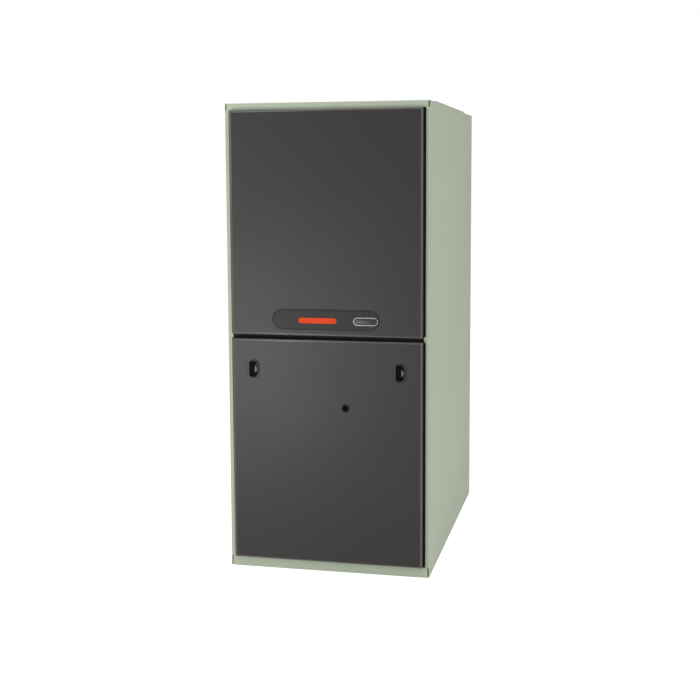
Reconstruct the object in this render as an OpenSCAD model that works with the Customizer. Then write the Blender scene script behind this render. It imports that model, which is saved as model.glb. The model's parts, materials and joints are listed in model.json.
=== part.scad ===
// Upflow forced air gas furnace, non-condensing, with four inshot burners, a tubular heat
// exchanger, an induced draught fan and a direct drive blower in a sheet steel cabinet.
// Millimetres, +Z up. The origin is on the floor under the middle of the whole outline, and the
// doors face -Y. Inside the modules y is counted back from the casing's front plane.

/* [Cabinet] */
// Outside width of the casing
cabinet_w = 444.5; // [400:0.5:534]
// Height of the casing above the floor
cabinet_h = 1016; // [914:1:1140]
// Depth of the casing without its doors
cabinet_d = 711.2; // [640:0.2:800]
// Thickness of the casing's sheet steel
sheet_t = 1.2; // [0.9:0.1:1.5]
// Outside radius of the casing's bends
bend_r = 2.2; // [1.8:0.1:3]
// Width of the casing's front flanges, from the side walls to the door opening
flange_w = 25; // [22:1:28]
// Width of the face strip that shows along each side of the front
strip_w = 8.5; // [7:0.5:9]
// Depth of the step behind the face strips and rails, in which the doors seat
step_d = 10; // [8:0.5:12]
// Depth of the stiffening lip behind each front flange
flange_lip = 8; // [5:1:8]
// Height of the top rail that shows above the upper door
top_rail_h = 14; // [10:1:18]
// Height of the bottom rail that shows under the lower door
bottom_rail_h = 22; // [18:1:28]
// How far each rail runs on behind a door's edge
rail_lap = 13; // [12:1:15]
// Open relief at the ends of the rails, where they meet the side walls
corner_gap = 2.4; // [1:0.1:3]

/* [Doors] */
// Width of casing that shows beside the doors
door_reveal = 13.2; // [10:0.2:15]
// How far the doors' faces stand in front of the casing
door_proud = 16; // [14:0.5:20]
// Thickness of the doors' sheet steel
door_t = 1; // [0.8:0.1:1.5]
// Outside radius of the doors' formed edges
door_edge_r = 6; // [3:0.5:8]
// Width of the return behind each door's edge
door_return = 10; // [8:0.5:11]
// Height of the middle of the seam between the doors
seam_z = 517; // [505:1:525]
// Open height of the seam between the doors
seam_gap = 8; // [5:0.5:10]
// Thickness of the insulation glued inside each door
liner_t = 8; // [5:0.5:10]
// Gap between a closed door and its gasket
seat_gap = 0.3; // [0.2:0.05:0.5]
// Thickness of the foam gasket behind each door's edge
gasket_t = 3; // [2:0.5:4]
// Open gap above the upper door
door_top_gap = 0.8; // [0.5:0.1:2]
// Open gap below the lower door
door_bottom_gap = 2; // [1:0.5:3]

/* [Door latches and sight glass] */
// Distance of each latch from the middle of the door
latch_x = 161; // [155:0.5:165]
// Drop from the lower door's top edge to the latches
latch_drop = 66; // [50:1:80]
// Width of a latch's bezel
latch_w = 25; // [24:0.5:28]
// Height of a latch's bezel
latch_h = 41; // [38:0.5:46]
// How far the latches stand in front of the door
latch_proud = 3; // [2.6:0.1:4]
// Length of a latch's pawl from its shaft to its tip
pawl_len = 46; // [44:0.5:50]
// Place of the sight glass across the door
sight_x = 43.3; // [35:0.1:60]
// Height of the sight glass above the floor
sight_z = 367; // [350:1:385]
// Diameter of the sight glass's eye
sight_d = 14; // [12:0.5:18]

/* [Badge] */
// Length of the badge plate
badge_w = 234.6; // [200:0.2:260]
// Height of the badge plate
badge_h = 44.5; // [36:0.5:50]
// Thickness of the badge plate
badge_t = 1.6; // [1:0.1:2]
// Rise from the upper door's bottom edge to the badge's middle
badge_rise = 35.7; // [32:0.1:50]

/* [Top openings] */
// Distance from the side walls to the supply duct flange
duct_inset = 19; // [16:0.5:24]
// Height of the supply duct flange
duct_flange_h = 10; // [8:0.5:12]
// Depth at which the supply opening starts
duct_front = 212; // [208:1:225]
// Distance from the supply opening to the back of the casing
duct_back_inset = 22; // [18:1:30]
// Radius of the hole that the vent pipe comes up through
vent_hole_r = 63.5; // [58:0.5:65]
// Outside radius of the vent collar, which a 4 inch pipe slips over
vent_r = 50.4; // [49:0.1:51]
// Length of the vent collar that the pipe slips over
vent_len = 38; // [30:1:45]
// Place of the vent across the cabinet
vent_x = -20; // [-30:1:-10]
// Number of combustion air slots beside the vent
air_slot_count = 7; // [4:1:8]
// Length of a combustion air slot
air_slot_len = 90; // [70:1:100]
// Width of a combustion air slot
air_slot_w = 6; // [4:0.5:8]

/* [Burners] */
// Depth of the burner compartment, from the casing's front to the panel behind it
vestibule_d = 200; // [196:1:205]
// Height of the burners above the middle deck
burner_rise = 83; // [75:1:95]
// Spacing of the burners and of the heat exchanger's tubes
burner_pitch = 80; // [76:0.5:84]
// Radius of a burner's throat
throat_r = 14; // [12:0.5:15]
// Radius of a burner's bell mouth
bell_r = 21; // [19:0.5:23]
// Radius of a burner's flame head
head_r = 17; // [16:0.5:18.5]
// Radius of the gas manifold pipe
manifold_r = 10.7; // [9:0.1:12]
// Radius of the threaded gas inlet
gas_inlet_r = 9.9; // [9:0.1:11]
// Length of thread in the gas inlet
gas_thread_len = 18; // [14:1:20]
// Radius of the gas pipe's hole in the left wall
gas_hole_r = 22; // [19:0.5:25]

/* [Heat exchanger] */
// Outside radius of a heat exchanger tube
tube_r = 20.5; // [18:0.5:22]
// Wall of a heat exchanger tube
tube_t = 1.5; // [1.2:0.1:2]
// Drop from the top of the casing to the tubes' outlets
outlet_drop = 164; // [158:1:172]
// Air gap between the tubes' far bends and the insulation behind them
tube_back_gap = 33.3; // [25:0.1:60]
// Thickness of the insulation round the heat exchanger
insulation_t = 8; // [6:0.5:12]

/* [Draught inducer] */
// Place of the inducer's shaft across the cabinet
inducer_x = 30; // [25:1:35]
// Radius of the inducer's drum
drum_r = 72; // [68:0.5:76]
// Depth of the inducer's drum
drum_d = 55; // [50:1:58]
// Wall of the inducer's drum
drum_t = 2; // [1.5:0.1:3]
// Radius of the inducer's shaft
inducer_shaft_r = 4; // [3.5:0.1:5]
// Radius of the inducer's motor
inducer_motor_r = 40; // [36:0.5:44]
// Number of blades on the inducer's wheel
inducer_blades = 18; // [12:1:24]

/* [Blower] */
// Outside radius of the blower wheel
wheel_r = 127; // [120:0.5:130]
// Depth of the wheel's blades, from its rim inwards
blade_d = 20; // [16:0.5:24]
// Width of the blower wheel
wheel_w = 200; // [190:1:206]
// Number of blades round the wheel
blade_count = 42; // [30:1:48]
// Thickness of a blade
blade_t = 1.2; // [0.8:0.1:1.6]
// Width of the blower housing
housing_w = 224; // [220:1:232]
// Depth of the wheel's shaft behind the casing's front plane
blower_y = 400; // [390:1:410]
// Height of the wheel's shaft above the floor
blower_z = 262; // [255:1:268]
// Radius of the scroll where it starts, at the cut-off
scroll_r0 = 140; // [137:0.5:142]
// Radius of the scroll where it meets the outlet
scroll_r1 = 205; // [198:1:210]
// Sheet thickness of the blower housing
housing_t = 1.2; // [1:0.1:1.5]
// Radius of the blower's shaft
shaft_r = 6.35; // [6:0.05:7]
// Radius of the blower's motor
motor_r = 70; // [60:1:72]
// Length of the blower's motor
motor_len = 124; // [110:1:130]

/* [Filter and return] */
// Space beside the air filter, up to the casing's side walls
filter_side_gap = 24.05; // [21:0.05:31]
// Length of the air filter from front to back
filter_len = 508; // [457:1:569]
// Thickness of the air filter
filter_t = 20; // [16:0.5:25]
// Margin between the filter's edge and the return opening
return_margin = 16; // [12:1:24]
// Number of pleats in the filter
pleats = 24; // [16:1:30]

/* [Electrical] */
// Width of the control board
board_w = 150; // [140:1:155]
// Height of the control board
board_h = 128; // [115:1:135]
// Drop from the top of the casing to the middle of the junction box
junction_drop = 80; // [56:1:126]
// Radius of the conduit knockout in the junction box
knockout_r = 11.1; // [10:0.1:12]
// Radius of the door switch's plunger
plunger_r = 3.5; // [3:0.1:4]

/* [Fits] */
// Gap where one fixed piece seats in or beside another
fit = 0.2; // [0.1:0.05:0.3]
// Radial running clearance round a shaft
run = 0.06; // [0.03:0.01:0.1]

/* [Hidden] */
$fn = 64;

SAGE = "#A3AB98";
CHARCOAL = "#55514F";
GALVANISED = "#B4B8B9";
ALUMINISED = "#9FA3A4";
BLACK = "#161616";
DARK_BADGE = "#474443";
FOIL = "#C9CBCB";
BRASS = "#B59A55";
CERAMIC = "#D9D4C7";
DARK_PLASTIC = "#22262B";
MOTOR_ENAMEL = "#3C3F42";

// how far a cut runs past the surface that it opens
over = 1;

front_y = -(cabinet_d + door_proud + latch_proud) / 2 + door_proud + latch_proud;
half_w = cabinet_w / 2;
inner_half_w = half_w - sheet_t;
pan_half_w = inner_half_w - fit;
door_w = cabinet_w - 2 * door_reveal;
door_half_w = door_w / 2;
upper_door_z0 = seam_z + seam_gap / 2;
upper_door_z1 = cabinet_h - top_rail_h - door_top_gap;
lower_door_z0 = bottom_rail_h + door_bottom_gap;
lower_door_z1 = seam_z - seam_gap / 2;
door_face_y = -door_proud;
door_back_y = step_d - gasket_t - seat_gap;
liner_y = door_face_y + door_t + fit;
opening_half_w = half_w - flange_w;
strip_x = half_w - strip_w;
rail_half_w = inner_half_w - corner_gap;
mid_lap = seam_gap / 2 + rail_lap;
// the pans' square corners clear the round corners at the back of the wrapper
inner_bend_r = bend_r - sheet_t;
rear_gap = inner_bend_r - sqrt(pow(inner_bend_r, 2) - pow(inner_bend_r - fit, 2)) + fit / 2;
rear_y = cabinet_d - sheet_t - rear_gap;
lip_back_y = step_d + flange_lip;
deck_z = seam_z - sheet_t / 2;
deck_top_z = deck_z + sheet_t;
top_under_z = cabinet_h - sheet_t;

// lips along the side edges of the top, the deck and the base, clear of the flanges in front
pan_lip_y0 = lip_back_y + 4;
pan_lip_y1 = cabinet_d - 20;
top_lip = 12;
deck_lip = 14;
base_lip = 20;
// the deck's front corners, which show at the seam between the doors
ear_half_h = 6;
ear_gap = 1.6;
gasket_seam_gap = 1.5;
// the gasket's gap round each ear, beside it and above and below it
gasket_ear_gap = [0.6, 0.5];

// sheet metal screws
screw_washer_r = 5.6;
screw_washer_t = 1;
screw_head_r = 4.2;
screw_head_h = 4.6;

// door tabs and their slots
tab_x = 130;
tab_w = 24;
tab_t = 2;
tab_len = 8;
tab_gap = 0.6;
upper_tab_top_z = cabinet_h - top_rail_h - rail_lap / 2;
upper_tab_bottom_z = upper_door_z0 + rail_lap / 2;
lower_tab_z = bottom_rail_h + rail_lap / 2;

// latches
latch_z = lower_door_z1 - latch_drop;
latch_rim = 2.5;
latch_floor = 0.8;
latch_pocket_flat = 2;
latch_shaft_r = 4.5;
latch_barrel_r = 8;
latch_barrel_y = -2;
latch_nut_r = 12;
latch_nut_t = 3.8;
latch_disc_t = 1;
latch_grip_w = 4;
pawl_y = lip_back_y + 1;
pawl_t = 3;
pawl_w = 14;

// badge
badge_z = upper_door_z0 + badge_rise;
badge_front_y = door_face_y - badge_t;
ring_w = 54;
ring_h = 18;
ring_wall = 2;
ring_x = 88;
ring_drop = 2;
trim_t = 0.8;

// sight glass
sight_rim = 1.6;
sight_proud = 1;
sight_shoulder = 1.2;
sight_wall = 1.4;
sight_back_lip = 1;
sight_len = 5;
sight_barrel_r = sight_d / 2 - sight_shoulder;
lens_set = 0.5;
lens_t = 2;

// burner compartment
burner_z = seam_z + burner_rise;
panel_front_y = vestibule_d;
panel_back_y = vestibule_d + sheet_t;
panel_edge = 14;
panel_screw_inset = 24;
panel_screw_bottom = 60;
panel_screw_top = 107.2;
panel_screws = 4;
tube_xs = [for (i = [0:3]) (i - 1.5) * burner_pitch];
box_t = 1.2;
burner_box_d = 98;
burner_box_margin = 5;
burner_box_front_y = vestibule_d - burner_box_d;
burner_box_half_w = 2 * burner_pitch + burner_box_margin;
burner_box_half_h = 41;
burner_box_lip = 10;
burner_box_screw_z = 30;
burner_air_gap = 6;
burner_air_drop = 8;
probe_y = vestibule_d - 14;
probe_hole_r = 6;

// burners: lengths along a burner, from its bell mouth
bell_len = 28;
burner_wall = 1.6;
burner_neck = 16;
burner_end_gap = 26;
flame_slot_w = 2.4;
flame_slot_len = 8;
flame_slot_inset = 6;
bell_front_y = burner_box_front_y - bell_len;

// gas train
orifice_reach = 16;
manifold_y = bell_front_y - manifold_r - orifice_reach;
manifold_over = 22;
fitting_wall = 3;
fitting_len = 16;
orifice_hex_r = 8;
// how far the tee's end, arm and neck run on past the pipe's own radius
tee_end = 6;
tee_neck = 10;
tee_gap = 0.3;
manifold_lug_x = burner_pitch;
lug_half_w = 8;
lug_half_h = 10;
lug_t = 2;
valve_shift = 27;
valve_rise = 122;
valve_reach = 26;
valve_x = tube_xs[0] - valve_shift;
// the tee's arm stops short of the first orifice
tee_arm = valve_shift - orifice_hex_r - tee_gap - manifold_r;
valve_w = 66;
valve_d = 70;
valve_h = 104;
valve_corner_r = 8;
valve_cover_t = 10;
valve_cover_inset = 5;
valve_cover_drop = 22;
valve_cap_r = 11;
valve_z = burner_z + valve_rise;
valve_front_y = manifold_y - valve_reach;
valve_mid_y = valve_front_y + valve_d / 2;
inlet_boss_r = 17;
inlet_boss_len = 10;
knob_r = 15;
knob_len = 12;
knob_z = valve_z + 14;
knob_shaft_r = 4;
knob_shaft_len = 7;
knob_flute_r = 2;
knob_grip_w = 5;
rollout_x = burner_pitch / 2 + 20;
rollout_y = vestibule_d - 40;
rollout_z = burner_z + burner_box_half_h;
reset_travel = 1.5;
reset_r = 3;

// heat exchanger
outlet_z = cabinet_h - outlet_drop;
pass_pitch = (outlet_z - burner_z) / 3;
tube_bend = pass_pitch / 2;
tube_front_gap = 12;
tube_near_y = panel_back_y + tube_bend + tube_r + tube_front_gap;
tube_far_y = rear_y - insulation_t - tube_back_gap - tube_bend - tube_r;
rack_inset = 74.5;
rack_over = 34;
rack_foot = 16;
rack_lap = 8;
comb_t = 1.5;

// collector, inducer and vent
collector_d = 48;
collector_half_w = 1.5 * burner_pitch + tube_r + 8;
collector_half_h = tube_r + 10;
collector_lip = 12;
collector_front_y = vestibule_d - collector_d;
drum_back_y = collector_front_y - fit;
drum_front_y = drum_back_y - drum_d;
drum_inlet_r = 30;
drum_flange = 6;
drum_flange_t = 4;
vent_y = drum_front_y + drum_d / 2;
duct_w = 62;
duct_foot = 8;
duct_foot_t = 4;
duct_x0 = inducer_x - drum_r;
collar_drop = 6;
collar_top_z = top_under_z - collar_drop;
collar_base_z = collar_top_z - vent_len;
collar_flange_t = 3;
collar_wall = 1.5;
collar_foot = 5;
duct_top_z = collar_base_z - collar_flange_t - fit;
inducer_motor_gap = 8;
inducer_motor_back_y = drum_front_y - inducer_motor_gap;
inducer_motor_len = 52;
inducer_motor_front_y = inducer_motor_back_y - inducer_motor_len;
inducer_fan_r = 32;
inducer_hub_r = 9;
air_slot_gap = 34.5;
air_slot_pitch = 16;
air_slot_y = vestibule_d / 2 + 20;
pressure_gap = 44;
pressure_rise = 6;
pressure_set = 10;
pressure_disc_d = 16;
pressure_front_r = 34;
pressure_back_r = 28;

// blower
motor_x0 = 24;
motor_end_inset = 8;
motor_hub_r = 18;
shaft_in_motor = 60;
outlet_top = deck_z - blower_z;
cutoff_angle = 105;
scroll_turn = 360 - cutoff_angle;
scroll_step = 7.5;
cutoff_top_y = -52;
side_over = 4;
inlet_r = wheel_r - blade_d + 2;
inlet_lip_r = 8;
hub_r = 16;
hub_len = 46;
hub_shift = 6;
disc_t = 2;
wheel_rim = 4;
blade_lean = 16;
side_x = housing_w / 2;
side_tab = 18;
side_tab_t = 1.5;
mount_arm_x = side_x + housing_t + 6;
mount_arm = 3;
mount_band_w = 24;
mount_band_t = 2;
// the deck laps over the housing's edges, which seat under it
deck_lap_x = 8;
deck_lap_y = 4;

// filter and return
filter_w = 2 * (inner_half_w - filter_side_gap);
filter_y0 = 62;
filter_z0 = 8;
filter_rim = 14;
rack_t = 1.2;
rack_ledge = 10;
return_half_w = filter_w / 2 - return_margin;
return_y0 = filter_y0 + return_margin;
return_y1 = filter_y0 + filter_len - return_margin;
return_collar_h = filter_z0 - 2;

// electrical
tray_y = 66;
tray_x0 = -66;
tray_x1 = tray_x0 + board_w + 100;
tray_z0 = sight_z - 82;
tray_t = 1.2;
tray_top_flange = 26;
tray_side_flange = 22;
tray_slot_left = 22;
tray_slot_right = 34;
tray_slot_drop = 26;
standoff_len = 10;
standoff_r = 3;
standoff_inset = 8;
board_t = 1.6;
board_y = tray_y - standoff_len - board_t;
board_x0 = tray_x1 - board_w - 10;
board_z0 = tray_z0 + 14;
junction_w = 62;
junction_half = 38;
junction_t = 1.2;
junction_z = cabinet_h - junction_drop;
// the box stands behind the gas valve and above the collector box, so that a lower or a narrower
// cabinet brings it to neither of them
junction_gap = 8.7;
junction_y = valve_front_y + valve_d + junction_gap + junction_half;
// the wall's hole clears the shoulder of the conduit's connector
conduit_gap = 3;
switch_x = -100;
switch_z = lower_door_z1 - door_return / 2 - 1;
switch_y = step_d + sheet_t + fit;
switch_half_w = 13;
switch_d = 30;
switch_bore = 20;
switch_drop = 12;
switch_travel = 3;
plunger_gap = 1.5;

// ---- general shapes ----

module place() {
    translate([0, front_y, 0]) children();
}

module both_sides() {
    children();
    mirror([1, 0, 0]) children();
}

// an outline drawn in y and z, pulled along x and centred on it
module along_x(length) {
    rotate([90, 0, 90]) linear_extrude(length, center = true) children();
}

// an outline drawn in x and z, pulled back from y0
module along_y(y0, length) {
    translate([0, y0 + length, 0]) rotate([90, 0, 0]) linear_extrude(length) children();
}

// a round bar or hole along y
module rod_y(x, z, y0, y1, r) {
    translate([x, y0, z]) rotate([-90, 0, 0]) cylinder(h = y1 - y0, r = r);
}

// a round bar or hole along x
module rod_x(x0, x1, y, z, r) {
    translate([x0, y, z]) rotate([0, 90, 0]) cylinder(h = x1 - x0, r = r);
}

module block(x, y, z) {
    translate([x[0], y[0], z[0]]) cube([x[1] - x[0], y[1] - y[0], z[1] - z[0]]);
}

// two ends of a span, from its middle and half its length
function around(middle, half) = [middle - half, middle + half];

// rectangle between two corners, with round corners
module round_rect(lo, hi, r) {
    translate([lo[0] + r, lo[1]]) square([hi[0] - lo[0] - 2 * r, hi[1] - lo[1]]);
    translate([lo[0], lo[1] + r]) square([hi[0] - lo[0], hi[1] - lo[1] - 2 * r]);
    for (x = [lo[0] + r, hi[0] - r], y = [lo[1] + r, hi[1] - r]) {
        translate([x, y]) circle(r);
    }
}

// a bar with half-round ends, centred, long way across
module stadium(length, height) {
    square([length - height, height], center = true);
    for (s = [-1, 1]) {
        translate([s * (length - height) / 2, 0]) circle(height / 2);
    }
}

// a hexagon head screw with its washer, head towards -y, seated on y0
module hex_screw(x, y0, z) {
    translate([x, y0, z]) rotate([90, 0, 0]) {
        cylinder(h = screw_washer_t, r = screw_washer_r);
        cylinder(h = screw_head_h, r = screw_head_r, $fn = 6);
    }
}

// ---- cabinet ----

// a strip along each side of the front, between two distances from the middle
module side_strips(x0, x1, y0, y1) {
    translate([x0, y0]) square([x1 - x0, y1 - y0]);
    translate([-x1, y0]) square([x1 - x0, y1 - y0]);
}

// face strip, step back, recessed flange and stiffening lip, all folded from the one sheet
module wrapper_outline() {
    difference() {
        round_rect([-half_w, 0], [half_w, cabinet_d], bend_r);
        round_rect([-inner_half_w, sheet_t], [inner_half_w, cabinet_d - sheet_t], inner_bend_r);
        translate([-strip_x, -over]) square([2 * strip_x, sheet_t + 2 * over]);
    }
    side_strips(strip_x, strip_x + sheet_t, sheet_t / 2, step_d + sheet_t);
    side_strips(opening_half_w, strip_x + sheet_t, step_d, step_d + sheet_t);
    side_strips(opening_half_w, opening_half_w + sheet_t, step_d + sheet_t / 2, lip_back_y);
}

// the flanges stop short of the rails that cross the front at the top and the bottom
module rail_relief(z0, z1) {
    block([-inner_half_w, inner_half_w], [-over, lip_back_y + over], [z0, z1]);
}

module casing_wrapper() {
    color(SAGE) place() difference() {
        linear_extrude(cabinet_h) wrapper_outline();
        rail_relief(cabinet_h - top_rail_h - fit, cabinet_h + over);
        rail_relief(-over, bottom_rail_h + fit);
        both_sides() block([door_half_w, strip_x], [step_d - over, step_d + sheet_t + over],
                           [deck_z - fit, deck_top_z + fit]);
        left_wall_hole(valve_mid_y, valve_z, gas_hole_r);
        left_wall_hole(junction_y, junction_z, knockout_r + conduit_gap);
    }
}

module left_wall_hole(y, z, r) {
    rod_x(-half_w - over, -inner_half_w + over, y, z, r);
}

// a rail across the front: the face that shows, its ledge, and the lap behind a door
module front_rail(face, ledge, lap) {
    block([-rail_half_w, rail_half_w], [0, sheet_t], face);
    block([-rail_half_w, rail_half_w], [0, step_d + sheet_t], ledge);
    block([-opening_half_w + fit, opening_half_w - fit], [step_d, step_d + sheet_t], lap);
}

// the lip along each side edge of a pan
module side_lips(z0, z1) {
    both_sides() block([pan_half_w - sheet_t, pan_half_w], [pan_lip_y0, pan_lip_y1], [z0, z1]);
}

module tab_slots(z) {
    both_sides() block(around(tab_x, tab_w / 2 + tab_gap), [over, step_d + sheet_t + over],
                       around(z, tab_t / 2 + tab_gap));
}

module air_slots() {
    x0 = vent_x + vent_hole_r + air_slot_gap;
    for (i = [0:air_slot_count - 1]) {
        translate([x0 + i * air_slot_pitch, air_slot_y, top_under_z - over]) {
            linear_extrude(sheet_t + 2 * over) rotate(90) stadium(air_slot_len, air_slot_w);
        }
    }
}

module top_panel() {
    rail_z = cabinet_h - top_rail_h;
    duct_half = half_w - duct_inset;
    duct_end = cabinet_d - duct_back_inset;
    flange_z = cabinet_h + duct_flange_h;
    color(SAGE) place() difference() {
        union() {
            block([-pan_half_w, pan_half_w], [step_d, rear_y], [top_under_z, cabinet_h]);
            block([-rail_half_w, rail_half_w], [0, step_d + sheet_t], [top_under_z, cabinet_h]);
            front_rail([rail_z, cabinet_h], [rail_z, rail_z + sheet_t],
                       [rail_z - rail_lap, rail_z + sheet_t]);
            side_lips(top_under_z - top_lip, top_under_z);
            block([-duct_half, duct_half], [duct_front, duct_end], [top_under_z, flange_z]);
        }
        block([-duct_half + sheet_t, duct_half - sheet_t],
              [duct_front + sheet_t, duct_end - sheet_t], [top_under_z - over, flange_z + over]);
        translate([vent_x, vent_y, top_under_z - over]) {
            cylinder(h = sheet_t + 2 * over, r = vent_hole_r);
        }
        air_slots();
        tab_slots(upper_tab_top_z);
    }
}

module base_pan() {
    color(SAGE) place() difference() {
        union() {
            block([-pan_half_w, pan_half_w], [step_d, rear_y], [0, sheet_t]);
            block([-rail_half_w, rail_half_w], [0, step_d + sheet_t], [0, sheet_t]);
            front_rail([0, bottom_rail_h], [bottom_rail_h - sheet_t, bottom_rail_h],
                       [bottom_rail_h - sheet_t, bottom_rail_h + rail_lap]);
            block([-return_half_w - sheet_t, return_half_w + sheet_t],
                  [return_y0 - sheet_t, return_y1 + sheet_t], [0, return_collar_h]);
            side_lips(0, base_lip);
        }
        block([-return_half_w, return_half_w], [return_y0, return_y1], [-over, filter_z0]);
        tab_slots(lower_tab_z);
    }
}

// the ears are the deck's front corners: they cross the step beside the doors and show at the seam
module blower_deck() {
    ear_x = [door_half_w + ear_gap, strip_x - fit];
    front_half_w = opening_half_w - fit;
    color(GALVANISED) place() difference() {
        union() {
            block([-pan_half_w, pan_half_w], [lip_back_y + over, rear_y], [deck_z, deck_top_z]);
            block([-front_half_w, front_half_w], [step_d, lip_back_y + 2 * over],
                  [deck_z, deck_top_z]);
            block([-front_half_w, front_half_w], [step_d, step_d + sheet_t],
                  around(seam_z, mid_lap));
            side_lips(deck_z - deck_lip, deck_z);
            both_sides() {
                block(ear_x, [0, lip_back_y + 2 * over], [deck_z, deck_top_z]);
                block(ear_x, [0, sheet_t], around(seam_z, ear_half_h));
            }
        }
        block([-side_x + deck_lap_x, side_x - deck_lap_x],
              [blower_y + cutoff_top_y + deck_lap_y, blower_y + scroll_r1 - deck_lap_y],
              [deck_z - over, deck_top_z + over]);
        tab_slots(upper_tab_bottom_z);
        rod_y(switch_x, switch_z, step_d - over, switch_y, plunger_r + plunger_gap);
    }
}

// burner compartment's back wall, with its edges turned forward against the side walls
module vestibule_panel() {
    z0 = deck_top_z + fit;
    z1 = top_under_z - fit;
    lip_z = top_under_z - top_lip - fit;
    top_half_w = pan_half_w - fit - sheet_t;
    edge_y = [panel_front_y - panel_edge, panel_front_y + sheet_t / 2];
    screws_z = [deck_top_z + panel_screw_bottom, top_under_z - panel_screw_top];
    screw_pitch = (screws_z[1] - screws_z[0]) / (panel_screws - 1);
    color(GALVANISED) place() difference() {
        union() {
            block([-top_half_w, top_half_w], [panel_front_y, panel_back_y], [z0, z1]);
            block([-pan_half_w, pan_half_w], [panel_front_y, panel_back_y], [z0, lip_z]);
            both_sides() block([pan_half_w - sheet_t, pan_half_w], edge_y, [z0, lip_z]);
            block([-pan_half_w, pan_half_w], edge_y, [z0, z0 + sheet_t]);
        }
        for (x = tube_xs, z = [burner_z, outlet_z]) {
            rod_y(x, z, panel_front_y - over, panel_back_y + over, tube_r + fit);
        }
    }
    color(GALVANISED) place() both_sides() for (i = [0:panel_screws - 1]) {
        hex_screw(inner_half_w - panel_screw_inset, panel_front_y,
                  screws_z[0] + i * screw_pitch);
    }
}

module casing_insulation() {
    x1 = pan_half_w - sheet_t - fit;
    x0 = x1 - insulation_t;
    color(FOIL) place() difference() {
        block([-x1, x1], [panel_back_y + fit, rear_y], [deck_top_z + fit, top_under_z - fit]);
        block([-x0, x0], [panel_back_y - over, rear_y - insulation_t],
              [deck_top_z - over, top_under_z + over]);
    }
}

// ---- doors ----

// outline with its two front corners rounded: across in x, depth in y
module rounded_front(lo, hi, front, back, r) {
    translate([lo, front + r]) square([hi - lo, back - front - r]);
    translate([lo + r, front]) square([hi - lo - 2 * r, 2 * r]);
    for (x = [lo + r, hi - r]) {
        translate([x, front + r]) circle(r);
    }
}

module door_blank(z0, z1, inset, back) {
    r = door_edge_r - inset;
    front = door_face_y + inset;
    half = door_half_w - inset;
    intersection() {
        translate([0, 0, z0 + inset]) linear_extrude(z1 - z0 - 2 * inset) {
            rounded_front(-half, half, front, back, r);
        }
        rotate([0, -90, 0]) linear_extrude(door_w + 2 * over, center = true) {
            rounded_front(z0 + inset, z1 - inset, front, back, r);
        }
    }
}

// a formed pan with its edges returned inwards at the back
module door_pan(z0, z1) {
    difference() {
        door_blank(z0, z1, 0, door_back_y);
        door_blank(z0, z1, door_t, door_back_y - door_t);
        block([-door_half_w + door_return, door_half_w - door_return], [0, step_d],
              [z0 + door_return, z1 - door_return]);
    }
}

module door_tabs(z) {
    both_sides() block(around(tab_x, tab_w / 2), [door_back_y - door_t, step_d + tab_len],
                       around(z, tab_t / 2));
}

module upper_door() {
    color(CHARCOAL) place() {
        door_pan(upper_door_z0, upper_door_z1);
        door_tabs(upper_tab_top_z);
        door_tabs(upper_tab_bottom_z);
    }
}

// foam frames on the recessed flanges, one round each door's edge
module gasket_loop(z0, z1, inner_z0, inner_z1) {
    difference() {
        block([-strip_x + fit, strip_x - fit], [step_d - gasket_t, step_d], [z0, z1]);
        block([-door_half_w + door_return, door_half_w - door_return], [0, step_d + over],
              [inner_z0, inner_z1]);
    }
}

module door_gasket() {
    color(BLACK) place() difference() {
        union() {
            gasket_loop(seam_z + gasket_seam_gap, cabinet_h - top_rail_h - fit,
                        upper_door_z0 + door_return, upper_door_z1 - door_return);
            gasket_loop(bottom_rail_h + fit, seam_z - gasket_seam_gap,
                        lower_door_z0 + door_return, lower_door_z1 - door_return);
        }
        tab_slots(upper_tab_top_z);
        tab_slots(upper_tab_bottom_z);
        tab_slots(lower_tab_z);
        rod_y(switch_x, switch_z, 0, step_d + over, plunger_r + plunger_gap);
        both_sides() block([door_half_w + ear_gap - gasket_ear_gap[0], strip_x + over],
                           [0, step_d + over], around(seam_z, ear_half_h + gasket_ear_gap[1]));
    }
}

// a hole through a door's face and the insulation behind it
module face_hole(x, z, r) {
    rod_y(x, z, door_face_y - over, liner_y + liner_t + over, r);
}

module lower_door() {
    color(CHARCOAL) place() {
        difference() {
            door_pan(lower_door_z0, lower_door_z1);
            both_sides() face_hole(latch_x, latch_z, latch_barrel_r + fit);
            face_hole(sight_x, sight_z, sight_barrel_r + fit);
        }
        door_tabs(lower_tab_z);
    }
}

module door_liner(z0, z1) {
    margin = door_return + 2;
    block([-door_half_w + margin, door_half_w - margin], [liner_y, liner_y + liner_t],
          [z0 + margin, z1 - margin]);
}

module upper_door_liner() {
    color(FOIL) place() door_liner(upper_door_z0, upper_door_z1);
}

module lower_door_liner() {
    color(FOIL) place() difference() {
        door_liner(lower_door_z0, lower_door_z1);
        both_sides() face_hole(latch_x, latch_z, latch_nut_r + 2);
        face_hole(sight_x, sight_z, sight_d / 2 + sight_back_lip + 2);
    }
}

module badge_plate() {
    color(DARK_BADGE) place() translate([0, 0, badge_z]) {
        along_y(badge_front_y, badge_t) stadium(badge_w, badge_h);
    }
}

module badge_ring() {
    color("silver") place() translate([ring_x, 0, badge_z - ring_drop]) {
        along_y(badge_front_y - trim_t, trim_t) difference() {
            stadium(ring_w, ring_h);
            stadium(ring_w - 2 * ring_wall, ring_h - 2 * ring_wall);
        }
    }
}

// ---- latches and sight glass ----

// the pocket is flat on the hinge side and round on the grip side
module latch_pocket() {
    w = latch_w - 2 * latch_rim;
    h = latch_h - 2 * latch_rim;
    intersection() {
        rotate(90) stadium(h, w);
        translate([-w / 2 + latch_pocket_flat, -h / 2]) square([w, h]);
    }
}

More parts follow.
